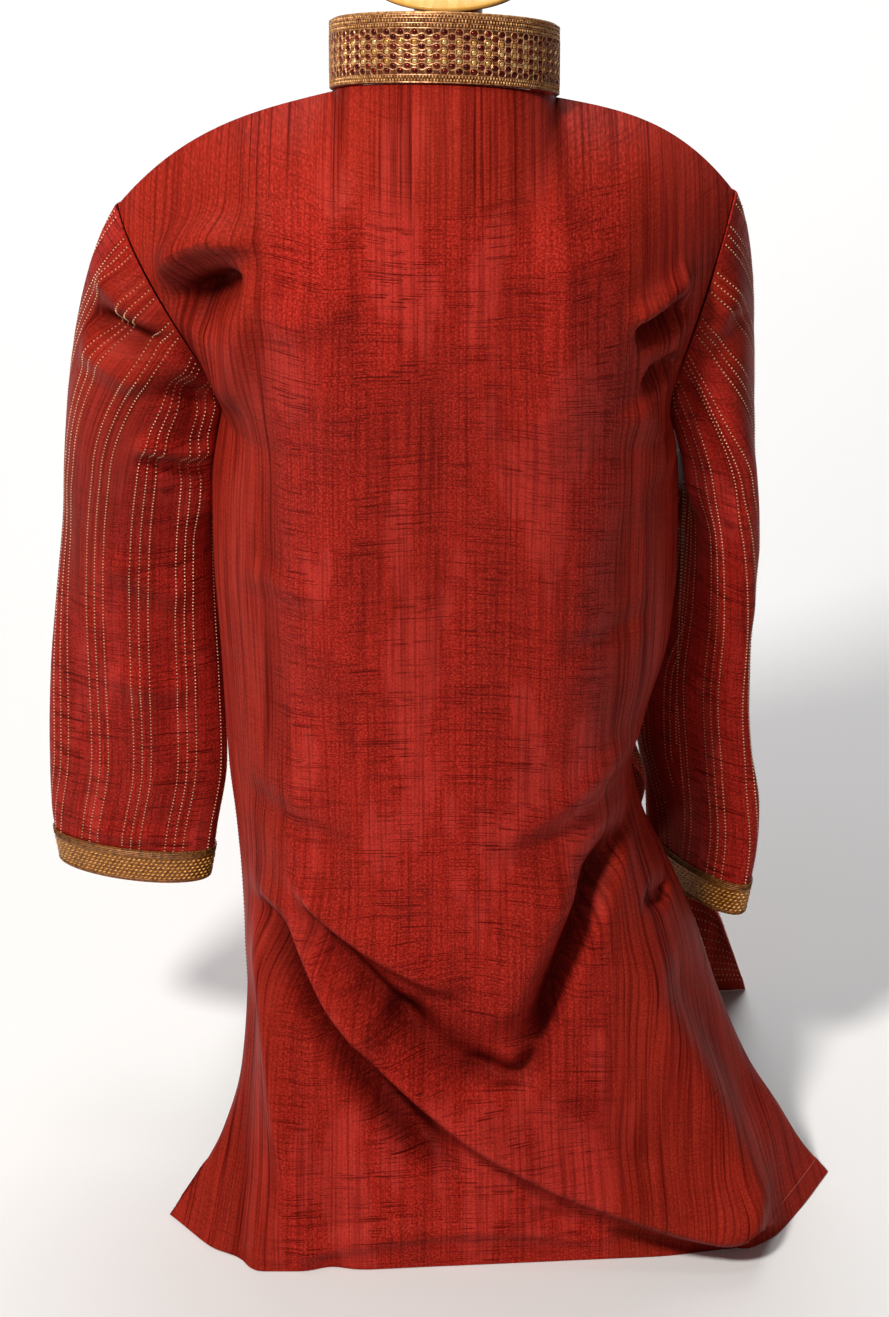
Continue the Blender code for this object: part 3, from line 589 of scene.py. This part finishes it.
def torus(around, section, thin):
    ang = np.arange(around) * 2 * pi / around
    sec = np.arange(section) * 2 * pi / section
    aa, ss = np.meshgrid(ang, sec, indexing="ij")
    r = 0.5 + thin * np.cos(ss)
    v = stack(r * np.cos(aa), r * np.sin(aa), thin * np.sin(ss)).reshape(-1, 3)
    i, j = np.meshgrid(np.arange(around), np.arange(section), indexing="ij")
    i2, j2 = (i + 1) % around, (j + 1) % section
    f = np.stack([i * section + j, i2 * section + j, i2 * section + j2, i * section + j2], -1)
    return v, f.reshape(-1, 4)


def dome(around, rings):
    """Round bead or sequin, flat underneath, as triangles."""
    lat = np.linspace(0, pi / 2, rings + 1)[:-1, None]
    ang = np.arange(around) * 2 * pi / around
    v = stack(0.5 * np.cos(lat) * np.cos(ang), 0.5 * np.cos(lat) * np.sin(ang), 0.5 * np.sin(lat))
    v = np.concatenate([v.reshape(-1, 3), [(0.0, 0.0, 0.5)]])
    tri = []
    for a in range(rings * around):
        b = a - a % around + (a + 1) % around
        if a >= (rings - 1) * around:
            tri.append((a, b, len(v) - 1))
        else:
            tri += [(a, b, b + around), (a, b + around, a + around)]
    return v, np.array(tri)


def frames(tangent, normal, long, wide, high):
    """Scaled axes for scatter: along the tangent, across it, and out."""
    t = unit(tangent)
    b = unit(np.cross(normal, t))
    return np.stack([t * long, b * wide, np.cross(t, b) * high], 1)


def read_line(cloth, fixed, value):
    """Points and normals along a cloth where its flat u (or v) has one value."""
    grid, points, normal = ((cloth.u, cloth.outer, cloth.normal) if fixed == "u" else
                            (cloth.v.T, cloth.outer.swapaxes(0, 1), cloth.normal.swapaxes(0, 1)))
    found = []
    for g, p, n in zip(grid, points, normal):
        if g[0] > g[-1]:
            g, p, n = g[::-1], p[::-1], n[::-1]
        if g[0] < value < g[-1]:
            found.append([np.interp(value, g, q[:, k]) for q in (p, n) for k in range(3)])
    found = np.array(found).reshape(-1, 6)
    return found[:, :3], found[:, 3:]


def pick(points, where, run):
    """Points read at lengths along a line."""
    return np.stack([np.interp(where, run, points[:, k]) for k in range(3)], -1)


def stitch_line(points, normal, start, end):
    """Stitches along a line of points, as rows of place, tangent and normal."""
    run = along(points[None], 1)[0]
    s = np.arange(start + STITCH_PITCH / 2, run[-1] - end, STITCH_PITCH)
    ahead = pick(points, s + 5e-4, run) - pick(points, s - 5e-4, run)
    return np.concatenate([pick(points, s, run), ahead, pick(normal, s, run)], 1)


def stitches(cloth, lines):
    """Stitches on lines of (fixed, value, start, end) of a cloth."""
    found = [(*read_line(cloth, fixed, value), start, end) for fixed, value, start, end in lines]
    return np.concatenate([stitch_line(*f) for f in found if len(f[0]) > 3])


def sew(name, rows, material, through=-1.0):
    """Stitches lying on the cloth as one mesh; below the height through, on its inside too."""
    place, tangent, normal = rows[:, :3], rows[:, 3:6], rows[:, 6:]
    axes = frames(tangent, normal, STITCH_LONG, STITCH_WIDE, STITCH_WIDE)
    low = place[:, 2] < through
    place = np.concatenate([place + normal * STITCH_LIFT,
                            (place - normal * (CLOTH + STITCH_LIFT))[low]])
    axes = np.concatenate([axes, axes[low] * np.array([1, -1, -1])[None, :, None]])
    obj = scatter(name, spindle(), place, axes, material)
    return obj


class Strip:
    """A ribbon's outer face, read by metres along it and metres up it."""

    def __init__(self, points, normal):
        self.p, self.n = points, normal
        self.tangent = np.gradient(points, axis=1)
        self.run = along(points, 1)[len(points) // 2]
        self.rise = along(points, 0).mean(1)

    def read(self, s, h):
        """Points, normals and tangents at the places s along and h up."""
        s, h = np.broadcast_arrays(np.asarray(s, float), np.asarray(h, float))
        col, row = (np.clip(np.interp(x, xs, np.arange(len(xs))), 0, len(xs) - 1.001)
                    for x, xs in ((s, self.run), (h, self.rise)))
        j, i = col.astype(int), row.astype(int)
        a, b = (col - j)[..., None], (row - i)[..., None]
        p, n, t = (((g[i, j] * (1 - a) + g[i, j + 1] * a) * (1 - b)
                    + (g[i + 1, j] * (1 - a) + g[i + 1, j + 1] * a) * b)
                   for g in (self.p, self.n, self.tangent))
        return p, unit(n), unit(t)

    def line(self, s, h, lift):
        p, n, _ = self.read(s, h)
        return p + n * lift, n

    def spaced(self, pitch, shift=0.0):
        """Even places along the ribbon, about one pitch apart."""
        count = int(self.run[-1] / pitch)
        return (np.arange(count) + 0.5 + shift) % count * self.run[-1] / count


def beads(name, strip, rows, size, shape, material, sink=0.0, slant=0.0):
    """Beads on a strip as one mesh; rows holds the places (s, h) of each row of beads."""
    sh = np.concatenate([np.stack(np.broadcast_arrays(a, float(b)), -1) for a, b in rows])
    p, n, t = strip.read(sh[:, 0], sh[:, 1])
    t = t * np.cos(slant) + np.cross(n, t) * np.sin(slant)
    return scatter(name, shape, p - n * sink, frames(t, n, *size), material)


def tube_faces(rows, cols):
    """Quads between neighbouring rings of points."""
    a = np.arange(rows * cols).reshape(rows, cols)
    b = np.roll(a, -1, 1)
    return np.stack([a[:-1], b[:-1], b[1:], a[1:]], -1).reshape(-1, 4)


def cords(name, paths, radius, sides, material):
    """Thin round cords through rows of points, with the cloth's normals, as one mesh."""
    verts, faces, start = [], [], 0
    ang = np.arange(sides) * 2 * pi / sides
    for p, n in paths:
        t = unit(np.gradient(p, axis=0))
        b = np.cross(n, t)
        ring = p[:, None] + radius * (np.cos(ang)[None, :, None] * b[:, None]
                                      + np.sin(ang)[None, :, None] * n[:, None])
        verts.append(ring.reshape(-1, 3))
        faces.append(start + tube_faces(len(p), sides))
        start += len(p) * sides
    return mesh_object(name, np.concatenate(verts), np.concatenate(faces), material)


def turned(name, profile, around, material, centre, axis=(0, 0, 1)):
    """Solid of revolution about an axis through centre, from (radius, height) rows."""
    axis = np.asarray(axis, float)
    a = unit(np.cross(axis, (0.3, 1.0, 0.2)))
    b = np.cross(axis, a)
    ang = np.arange(around)[:, None] * 2 * pi / around
    rings = [np.asarray(centre) + axis * h + r * (np.cos(ang) * a + np.sin(ang) * b)
             for r, h in profile]
    return capped(name, rings, material)


def capped(name, rings, material):
    """Closed body through a row of rings, with a fan of faces at each end."""
    count = len(rings[0])
    verts = np.concatenate([*rings, [rings[0].mean(0)], [rings[-1].mean(0)]])
    low, high, top = len(verts) - 2, len(verts) - 1, (len(rings) - 1) * count
    faces = tube_faces(len(rings), count).tolist()
    for a in range(count):
        b = (a + 1) % count
        faces += [(low, b, a), (high, top + a, top + b)]
    return mesh_object(name, verts, faces, material)


def rounded(profile):
    """A turned profile with its corners rounded off between the given points."""
    pts = np.array(profile, float)
    for _ in range(2):
        cut = np.stack([pts[:-1] * 0.8 + pts[1:] * 0.2, pts[:-1] * 0.2 + pts[1:] * 0.8], 1)
        pts = np.concatenate([pts[:1], cut.reshape(-1, 2), pts[-1:]])
    return pts


# Materials
def srgb(*rgb):
    return tuple(((c / 255 + 0.055) / 1.055) ** 2.4 if c > 10 else c / 255 / 12.92 for c in rgb)


def scaled(colour, *by):
    return tuple(c * k for c, k in zip(colour, by if len(by) > 1 else by * 3))


class Shade:
    """A node material under construction."""

    def __init__(self, name, **inputs):
        self.m = bpy.data.materials.new(name)
        self.m.use_nodes = True
        self.nodes, self.links = self.m.node_tree.nodes, self.m.node_tree.links
        self.surface(**inputs)

    def put(self, socket, value):
        """Set a socket, or link it."""
        if isinstance(value, bpy.types.NodeSocket):
            self.links.new(value, socket)
        elif isinstance(value, tuple):
            socket.default_value = (*value, 1)[:len(socket.default_value)]
        else:
            socket.default_value = value

    def fill(self, node, **inputs):
        for key, value in inputs.items():
            name = key.replace("_", " ")
            self.put(next(i for i in node.inputs if i.name == name and i.enabled), value)
        return node

    def surface(self, **inputs):
        self.fill(self.nodes["Principled BSDF"], **inputs)

    def new(self, kind, **settings):
        n = self.nodes.new("ShaderNode" + kind)
        for k, v in settings.items():
            setattr(n, k, v)
        return n

    def place(self):
        return self.new("TexCoord").outputs["Object"]

    def noise(self, vector, scale, detail=2.0, rough=0.5, shift=(0, 0, 0)):
        placed = self.fill(self.new("Mapping"), Scale=scale, Location=shift, Vector=vector)
        return self.fill(self.new("TexNoise"), Scale=1.0, Detail=detail, Roughness=rough,
                         Vector=placed.outputs["Vector"]).outputs["Fac"]

    def ramp(self, value, low, high, out_low=0.0, out_high=1.0):
        n = self.new("MapRange", interpolation_type="SMOOTHSTEP")
        self.fill(n, Value=value, From_Min=low, From_Max=high, To_Min=out_low, To_Max=out_high)
        return n.outputs["Result"]

    def math(self, op, *values):
        n = self.new("Math", operation=op)
        for socket, value in zip(n.inputs, values):
            self.put(socket, value)
        return n.outputs[0]

    def split(self, vector, axis):
        return self.fill(self.new("SeparateXYZ"), Vector=vector).outputs[axis]

    def mix(self, fac, a, b):
        n = self.fill(self.new("Mix", data_type="RGBA"), Factor=fac, A=a, B=b)
        return next(o for o in n.outputs if o.enabled)

    def bump(self, height, distance, strength=1.0):
        n = self.fill(self.new("Bump"), Height=height, Distance=distance, Strength=strength)
        self.surface(Normal=n.outputs["Normal"])


def silk(name, lit, dark, weft=1.0, warp=1.0, seed=0.0, middle=None):
    """Slub silk: fine warp lines, long thin weft slubs, satin patches of painted sheen, painted
    shade in the folds.
    """
    s = Shade(name, Specular_IOR_Level=0.2, IOR=1.25, Specular_Tint=(1.0, 0.45, 0.36))
    p = s.new("Attribute", attribute_name="cloth").outputs["Vector"]
    # in every noise the piece's width runs first and its length second, in metres
    lines = s.noise(p, (680, 10, 1), 2, 0.6, (seed, 0, 0))
    streaks = s.noise(p, (500, 6, 1), 2, 0.6, (seed + 2, 0, 0))
    bands = s.noise(p, (120, 3, 1), 2, 0.55, (seed + 7, 3, 0))
    zone = s.noise(p, (13, 2.4, 1), 1, 0.5, (seed + 3, 5, 0))
    slub = s.noise(p, (15, 1500, 1), 2, 0.6, (0, seed, 3))
    broken = s.noise(p, (80, 260, 1), 1, 0.5, (seed, 4, 0))
    slub_zone = s.noise(p, (26, 66, 1), 2, 0.6, (seed, 9, 0))
    # tone and painted sheen: a little darker red where this is low, a paler pink red where it is
    # high, standing in for the satin's sheen
    tone_and_sheen_patch = s.noise(p, (27, 8, 1), 2, 0.55, (seed + 11, 1, 0))
    # fine grain of the weave: its dark grains are the threads' tone, its pale grains partly the
    # threads' tone and partly painted sparkle
    weave_and_sparkle = s.noise(p, (720, 760, 1), 2, 0.75)
    crumple = s.noise(p, (46, 30, 1), 2, 0.5, (seed, 2, 0))
    in_warp = s.ramp(zone, 0.43, 0.57)
    if middle:
        # slubs in the middle of the panel, warp streaks along its sides and over the shoulders
        far = s.ramp(s.math("ABSOLUTE", s.split(p, 0)), middle * 0.82, middle * 1.12)
        high = s.ramp(s.split(p, 1), 0.66, 0.74)
        in_warp = s.math("MULTIPLY", in_warp, 0.30)
        in_warp = s.math("MAXIMUM", far, s.math("MAXIMUM", high, in_warp))
    streak = s.math("MULTIPLY", s.ramp(streaks, 0.48, 0.66),
                    s.ramp(in_warp, 0, 1, 0.06 * warp, 0.50 * warp))
    band = s.math("MULTIPLY", s.ramp(bands, 0.50, 0.66),
                  s.ramp(in_warp, 0, 1, 0.05 * warp, 0.30 * warp))
    streak = s.math("ADD", s.math("ADD", streak, band), s.ramp(lines, 0.42, 0.66, 0, 0.44))
    here = s.math("MULTIPLY", s.ramp(slub_zone, 0.36, 0.53), s.ramp(in_warp, 0, 1, 1.0, 0.3))
    here = s.math("MULTIPLY", here, s.ramp(broken, 0.38, 0.50))
    slubs = s.math("MULTIPLY", s.ramp(slub, 0.52, 0.60, 0, 0.88 * weft), here)
    # painted shade: darker red in the fold hollows and under the folds, read from the cloth's deep
    # attribute
    deep = s.new("Attribute", attribute_name="deep").outputs["Fac"]
    colour = s.mix(s.ramp(tone_and_sheen_patch, 0.38, 0.50), scaled(lit, 0.82), lit)
    for fac, other in ((s.ramp(tone_and_sheen_patch, 0.53, 0.60), scaled(lit, 1.36, 2.1, 2.6)),
                       (s.ramp(weave_and_sparkle, 0.48, 0.60, 0, 0.80), scaled(lit, 1.62, 2.5, 2.7)),
                       (s.ramp(weave_and_sparkle, 0.36, 0.47, 0.38, 0), dark),
                       (s.ramp(in_warp, 0, 1, 0, 0.5), scaled(lit, 0.80, 1.5, 1.1)),
                       (streak, dark),
                       (slubs, scaled(dark, 0.85)), (deep, scaled(dark, 0.25))):
        colour = s.mix(fac, colour, other)
    s.surface(Base_Color=colour, Roughness=s.ramp(s.math("ADD", streak, slubs), 0, 1, 0.48, 0.62))
    height = s.math("MULTIPLY", weave_and_sparkle, 0.9)
    for part, share in ((streaks, 0.6), (slubs, -0.6), (crumple, 8.0)):
        height = s.math("ADD", height, s.math("MULTIPLY", part, share))
    s.bump(height, 0.00022, 0.85)
    return s.m


def speckled(name, lit, dark, grain, detail=1, rough=0.5, spread=0.15, bump=None, **sockets):
    """Two colours in fine grains, raised a little where bump gives a height and a strength."""
    s = Shade(name, **sockets)
    n = s.noise(s.place(), grain, detail, rough)
    s.surface(Base_Color=s.mix(s.ramp(n, 0.5 - spread, 0.5 + spread), lit, dark))
    if bump:
        s.bump(n, *bump)
    return s.m


def thread(name, colour, metallic):
    return speckled(name, colour, scaled(colour, 0.55), (900, 900, 900),
                    Metallic=metallic, Roughness=0.45)


def gold_braid(name, lit, dark):
    return speckled(name, lit, dark, (500, 500, 500), 2, 0.6, bump=(0.0003, 0.5),
                    Metallic=0.35, Roughness=0.38)


def sequin_glass(name, low, high):
    return speckled(name, low, high, (130, 130, 130), spread=0.10, Metallic=0.55, Roughness=0.18)


def wood(name, lit, dark, grain=(6, 60, 60), rim=None):
    s = Shade(name, Coat_Weight=0.3, Coat_Roughness=0.15)
    p = s.place()
    warp = s.noise(p, tuple(2 * g for g in grain), 2, 0.5)
    rings = s.math("ADD", s.noise(p, grain, 3, 0.6), s.math("MULTIPLY", warp, 0.1))
    value = s.math("FRACT", s.math("MULTIPLY", rings, 9.0))
    colour = s.mix(s.ramp(value, 0.1, 0.9), lit, dark)
    if rim:
        # below this height the wood is a darker brown
        above_rim = s.ramp(s.split(p, 2), rim - 0.0008, rim + 0.0004)
        colour = s.mix(above_rim, srgb(150, 88, 30), colour)
    s.surface(Base_Color=colour, Roughness=s.ramp(value, 0, 1, 0.35, 0.5))
    s.bump(value, 0.0002, 0.15)
    return s.m


def steel(name):
    s = Shade(name, Metallic=1.0)
    n = s.noise(s.place(), (40, 40, 900), 2, 0.6)
    s.surface(Base_Color=s.mix(n, srgb(186, 186, 188), srgb(150, 150, 154)),
              Roughness=s.ramp(n, 0.3, 0.7, 0.22, 0.38))
    return s.m


RED, DEEP = srgb(174, 37, 27), srgb(98, 13, 8)
BACK_SILK = silk("slub_silk_back", RED, DEEP, middle=0.105)
FRONT_SILK = silk("slub_silk_front", srgb(170, 37, 27), DEEP, seed=4.0, middle=0.105)
SLEEVE_SILK = silk("slub_silk_sleeve", srgb(168, 35, 26), DEEP, weft=1.2, warp=0.6, seed=9.0)
THREAD = thread("gold_thread", srgb(255, 204, 158), metallic=0.1)
RED_THREAD = thread("red_thread", srgb(150, 24, 16), metallic=0.0)
GROUND = gold_braid("ribbon_ground", srgb(138, 82, 44), srgb(84, 40, 20))
BRAID = gold_braid("gold_braid", srgb(236, 182, 116), srgb(166, 108, 56))
NET = gold_braid("gold_net", srgb(230, 172, 120), srgb(156, 92, 54))
CUFF_BRAID = gold_braid("cuff_braid", srgb(162, 100, 34), srgb(104, 58, 16))
CUFF_BEAD = gold_braid("cuff_bead", srgb(248, 184, 96), srgb(200, 132, 54))
MAROON = sequin_glass("maroon_sequin", srgb(84, 16, 14), srgb(132, 40, 30))
# painted glint: gold for the sequins that stand in for the glints of the maroon sequins
GLINT_GOLD = sequin_glass("glint_gold_sequin", srgb(238, 172, 84), srgb(255, 216, 144))
BUTTON_METAL = gold_braid("button_metal", srgb(206, 158, 88), srgb(170, 120, 60))
LINEN = srgb(214, 203, 184)
JERSEY = speckled("form_jersey", LINEN, scaled(LINEN, 0.8), (900, 900, 300), 2, 0.6, 0.20,
                  bump=(0.0004, 0.6), Sheen_Weight=0.4, Roughness=0.85)
CAP_WOOD = wood("cap_wood", srgb(246, 190, 94), srgb(238, 176, 80), grain=(24, 5, 24), rim=0.7808)
BASE_WOOD = wood("base_wood", srgb(190, 130, 70), srgb(140, 88, 42))
STEEL = steel("pole_steel")

# Cloth pieces, by the solid that each stands for
BACK = panel(1, 161, 150, 56)
FRONT = panel(-1, 121, 120, 50)
SLEEVE = {"left": sleeve(1, 96, 44, 104), "right": sleeve(-1, 96, 44, 104)}
pieces = {"back_panel": wall("back_silk", BACK, BACK_SILK),
          "front_panel": wall("front_silk", FRONT, FRONT_SILK, flip=True)}
for word, cloth in SLEEVE.items():
    pieces["sleeve_" + word] = wall(f"sleeve_{word}_silk", cloth, SLEEVE_SILK, flip=word == "right")
outer = collar_grid(240, 12)
collar = Cloth(outer, -normals(outer), COLLAR_WALL)
collar.inner = collar_grid(240, 12, out=-COLLAR_WALL)
pieces["collar"] = wall("collar_silk", collar, BACK_SILK)

# Lengthwise lines of the sleeves in threes
for word, cloth in SLEEVE.items():
    lines = [("u", middle + k * LINE_PITCH, 0.001, CUFF_TRIM_H)
             for middle in np.arange(GROUP_START, cloth.u.max(), GROUP_PITCH) for k in (-1, 0, 1)]
    sew(f"stitches_{word}", stitches(cloth, lines), THREAD)
# Crosswise lines of the front, closer near the hem; they go right through the cloth, and
# show on its inside where the front stands out past the back
lines, v = [], 0.012
while v < FRONT.v.max() - 0.01:
    lines.append(("v", v, 0.001, 0.001))
    v += 0.0055 + 0.0033 * ease((v - 0.01) / 0.06)
front_lines = sew("stitches_front", stitches(FRONT, lines), THREAD, through=SLIT_TOP_Z)
# Hem and slit stitching, in thread of the cloth's own colour
hem = []
for cloth in (BACK, FRONT):
    hem.append(stitches(cloth, [("v", HEM_TURN - 0.0015, 0.002, 0.002)]))
    rows = cloth.outer[:, 0, 2] < SLIT_TOP_Z
    for column in (3, -4):
        hem.append(stitch_line(cloth.outer[rows, column], cloth.normal[rows, column],
                               STITCH_PITCH / 2, 0))
edge_lines = sew("stitches_edges", np.concatenate(hem), RED_THREAD)


def ribbon(name, points, normal, material):
    outer = points + normal * (RIBBON_LAY + RIBBON_WALL)
    return wall(name, Cloth(outer, normal, RIBBON_WALL), material), Strip(outer, normal)


# Ribbon of the collar: rows of ladder beads at its edges, and a net of rings with sequins
points = collar_grid(260, 10, RIBBON_EDGE)
collar_ribbon, strip = ribbon("collar_ribbon", points, -normals(points), GROUND)
wide, half = ([(strip.spaced(SEQUIN_PITCH, shift), SEQUIN_FOOT + SEQUIN_RISE * (k + shift))
               for k in range(count)] for shift, count in ((0.0, 5), (0.5, 4)))
# painted glint: the middle three rows of sequins are gold where the maroon sequins' glints show
trim = [collar_ribbon,
        beads("collar_glint_gold_sequins", strip, wide[1:4], GLINT_GOLD_SEQUIN, dome(12, 3), GLINT_GOLD),
        beads("collar_maroon_sequins", strip, wide[:1] + wide[4:] + half, MAROON_SEQUIN,
              dome(12, 3), MAROON),
        beads("collar_rings", strip, wide + half, RING, torus(14, 4, 0.075), NET, sink=-0.0003)]
s_line = np.linspace(0, strip.run[-1], 450)
phase = 2 * pi * (s_line / strip.run[-1] * int(strip.run[-1] / SEQUIN_PITCH) - 0.5)
waves = [(SEQUIN_FOOT + SEQUIN_RISE * k + base, turn)
         for k in range(5) for base, turn in ((0.0013, 1), (0.0039, -1))]
paths = [strip.line(s_line, h + turn * 0.0006 * np.cos(phase), CORD_LIFT)
         for h, turn in waves if h <= COLLAR_H - 0.009]
paths += [strip.line(s_line, h, CORD_LIFT) for h in (
    0.0006, 0.0046, COLLAR_H - 0.0079, COLLAR_H - 0.0052, COLLAR_H - 0.0024, COLLAR_H - 0.0007)]
trim.append(cords("collar_cords", paths, COLLAR_CORD_R, 5, NET))
phi = collar_angles(400)
edge = collar_place(phi, np.full(400, COLLAR_H), -COLLAR_WALL / 2)
outward = stack(np.sin(phi), np.cos(phi), 0)
trim.append(cords("collar_edge", [(edge, outward)], COLLAR_WALL * 0.62, 8, BRAID))
ladder = [(strip.spaced(0.00178, 0.5 * (k % 2)), h) for k, h in enumerate(
    (0.0017, 0.0036, COLLAR_H - 0.0065, COLLAR_H - 0.0038, COLLAR_H - 0.0015))]
trim.append(beads("collar_beads", strip, ladder, COLLAR_BEAD, dome(7, 2), BRAID))

# Ribbons of the cuffs: a beaded edge, rows of slanted gold beads, a plain braid below
cuff = {}
rise = np.linspace(RIBBON_EDGE, CUFF_TRIM_H, 12)
for word, cloth in SLEEVE.items():
    turn = -1 if word == "left" else 1
    points, normal = (np.array([[np.interp(rise, cloth.v[::-1, c], q[::-1, c, k])
                                 for k in range(3)] for c in range(q.shape[1])]).transpose(2, 0, 1)
                      for q in (cloth.outer, cloth.normal))
    obj, strip = ribbon(f"cuff_ribbon_{word}", points[:, ::turn], unit(normal)[:, ::turn],
                        CUFF_BRAID)
    dashes = [(strip.spaced(DASH_PITCH, 0.5 * (k % 2)), DASH_FOOT + DASH_RISE * k)
              for k in range(6)]
    edges = [(strip.spaced(0.0020), h) for h in (0.0007, CUFF_TRIM_H - 0.0004)]
    s_line = np.linspace(0, strip.run[-1], 160)
    paths = [strip.line(s_line, h, 0.0002) for h in (
        0.0020, CUFF_TRIM_H - 0.0045, CUFF_TRIM_H - 0.0032, CUFF_TRIM_H - 0.0018)]
    cuff[word] = [obj, beads(f"cuff_dashes_{word}", strip, dashes, DASH, dome(8, 2), CUFF_BEAD,
                             slant=DASH_SLANT),
                  beads(f"cuff_beads_{word}", strip, edges, CUFF_EDGE_BEAD, dome(7, 2), CUFF_BRAID),
                  cords(f"cuff_cords_{word}", paths, CUFF_CORD_R, 5, CUFF_BRAID)]

# Placket and buttons
xs, ts = np.meshgrid(np.linspace(-PLACKET_W / 2, PLACKET_W / 2, 15),
                     np.linspace(PLACKET_END, PLACKET_TOP, 60))
placket = Cloth(*on_front(xs, ts, PLACKET_LAY + PLACKET_WALL), PLACKET_WALL)
pieces["placket"] = wall("placket_silk", placket, FRONT_SILK)
lines = [("u", 0.002, 0.001, 0.001), ("u", PLACKET_W - 0.0022, 0.001, 0.001),
         ("v", 0.002, 0.002, 0.002)]
placket_lines = sew("stitches_placket", stitches(placket, lines), THREAD)
BUTTON_SHAPE = rounded([(BUTTON_R * r, BUTTON_H * h) for r, h in (
    (0.8, 0), (1, 0.35), (1, 0.65), (0.82, 0.9), (0.62, 0.78), (0.4, 1))]
    + [(0.0004, BUTTON_H * 1.08)])
buttons = []
for i in range(BUTTON_COUNT):
    t = PLACKET_END + (PLACKET_TOP - PLACKET_END) * (i + 0.6) / BUTTON_COUNT
    c, n = on_front(np.zeros(1), np.full(1, t), PLACKET_LAY + PLACKET_WALL + SEAM_GAP)
    buttons.append(turned(f"button_{BUTTON_COUNT - i}_gold", BUTTON_SHAPE, 32, BUTTON_METAL,
                          c[0], n[0]))


# Dress form
def torso_ring(z, count=72):
    ang = np.arange(count) * 2 * pi / count
    wide, deep, y = (float(at(TORSO, k, z)) for k in ("wide", "deep", "y"))
    sn, cs = np.sin(ang), np.cos(ang)
    power = 2 / TORSO_SQUARE
    return stack(np.sign(sn) * wide * np.abs(sn) ** power,
                 y + np.sign(cs) * deep * np.abs(cs) ** power, z)


heights = np.linspace(TORSO["z"].min(), TORSO["z"].max(), 70)
heights = np.unique(np.concatenate([heights, TORSO["z"]]))
torso = capped("torso_jersey", [torso_ring(z) for z in heights], JERSEY)
low, rim = NECK_TOP + SEAM_GAP, CAP_STEM_TOP
foot = rounded([(CAP_FOOT_R, low), (CAP_FOOT_R, low + 0.004), (CAP_FOOT_R - 0.004, low + 0.007),
                (CAP_STEM_R, low + 0.012), (CAP_STEM_R, rim - 0.004), (CAP_STEM_R + 0.006, rim),
                (CAP_R - 0.0006, rim), (CAP_R, rim + 0.0008), (CAP_R, rim + CAP_RIM - 0.0008),
                (CAP_R - 0.0012, rim + CAP_RIM), (CAP_R * 0.75, rim + CAP_RIM + CAP_DOME * 0.45),
                (CAP_R * 0.4, rim + CAP_RIM + CAP_DOME * 0.85),
                (CAP_R * 0.1, rim + CAP_RIM + CAP_DOME)])
cap = turned("cap_wood", foot, 72, CAP_WOOD, CAP_PLACE)
shaft = [(POLE_R, BASE_H + SEAM_GAP), (POLE_R, TORSO_BOTTOM - SEAM_GAP)]
pole = turned("pole_steel", shaft, 48, STEEL, (0, 0, 0))
disc = rounded([(BASE_R - 0.003, 0.0), (BASE_R, 0.003), (BASE_R, BASE_H * 0.55),
                (BASE_R - 0.006, BASE_H * 0.8), (BASE_R * 0.4, BASE_H), (0.016, BASE_H)])
base = turned("base_wood", disc, 96, BASE_WOOD, (0, 0, 0))


# Hide each imported solid that a piece above stands for
def fit(node):
    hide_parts(node)


for node, obj in pieces.items():
    fit(node)
fit("collar_trim")
for word in cuff:
    fit("cuff_trim_" + word)
for i, obj in enumerate(buttons):
    fit(f"button_{BUTTON_COUNT - i}")
for obj, node, slot in ((torso, "form_torso", "jersey"), (cap, "form_cap", "wood"),
                        (pole, "form_pole", "steel"), (base, "form_base", "wood")):
    fit(node)


# Camera, floor and light
camera = placed("camera", bpy.data.cameras.new("camera"))
bpy.context.scene.camera = camera
camera.location = (0, 2.0, 1.6)
camera.rotation_euler = (radians(58), 0, radians(180))
FRAME_H, FOCAL_PIXELS = 1317, 3900
camera.data.sensor_width = 36
camera.data.lens = FOCAL_PIXELS * camera.data.sensor_width / FRAME_H


def floor(half=8):
    mesh = bpy.data.meshes.new("floor")
    mesh.from_pydata([(-half, -half, 0), (half, -half, 0), (half, half, 0), (-half, half, 0)], [],
                     [(0, 1, 2, 3)])
    s = Shade("pale_floor", Roughness=0.9, Specular_IOR_Level=0.1)
    n = s.noise(s.place(), (1.5, 1.5, 1.5), 2)
    s.surface(Base_Color=s.mix(n, (0.97, 0.97, 0.97), (0.95, 0.95, 0.95)))
    mesh.materials.append(s.m)
    placed("floor", mesh)


def area_light(name, where, aim, size, power, colour=(1, 1, 1)):
    light = bpy.data.lights.new(name, "AREA")
    light.shape, light.size, light.energy, light.color = "DISK", size, power, colour
    obj = placed(name, light)
    obj.location = where
    obj.rotation_euler = (Vector(aim) - Vector(where)).to_track_quat("-Z", "Y").to_euler()


floor()
area_light("key", (1.0, 1.25, 2.35), (0, 0, 0.42), 0.4, 52, (1.0, 0.96, 0.91))
area_light("fill", (0.8, 2.8, 2.2), (0, 0, 0.35), 0.9, 3, (1.0, 0.97, 0.94))
area_light("top", (0.2, -0.4, 3.0), (0.1, -0.2, 0), 1.4, 13)
area_light("floor_behind", (0, -2.3, 2.4), (0, -2.6, 0), 2.6, 60)
world = bpy.data.worlds.new("studio")
bpy.context.scene.world = world
world.use_nodes = True
background = world.node_tree.nodes["Background"]
background.inputs["Color"].default_value = (1, 1, 1, 1)
background.inputs["Strength"].default_value = 0.06
bpy.context.scene.view_settings.view_transform = "Standard"
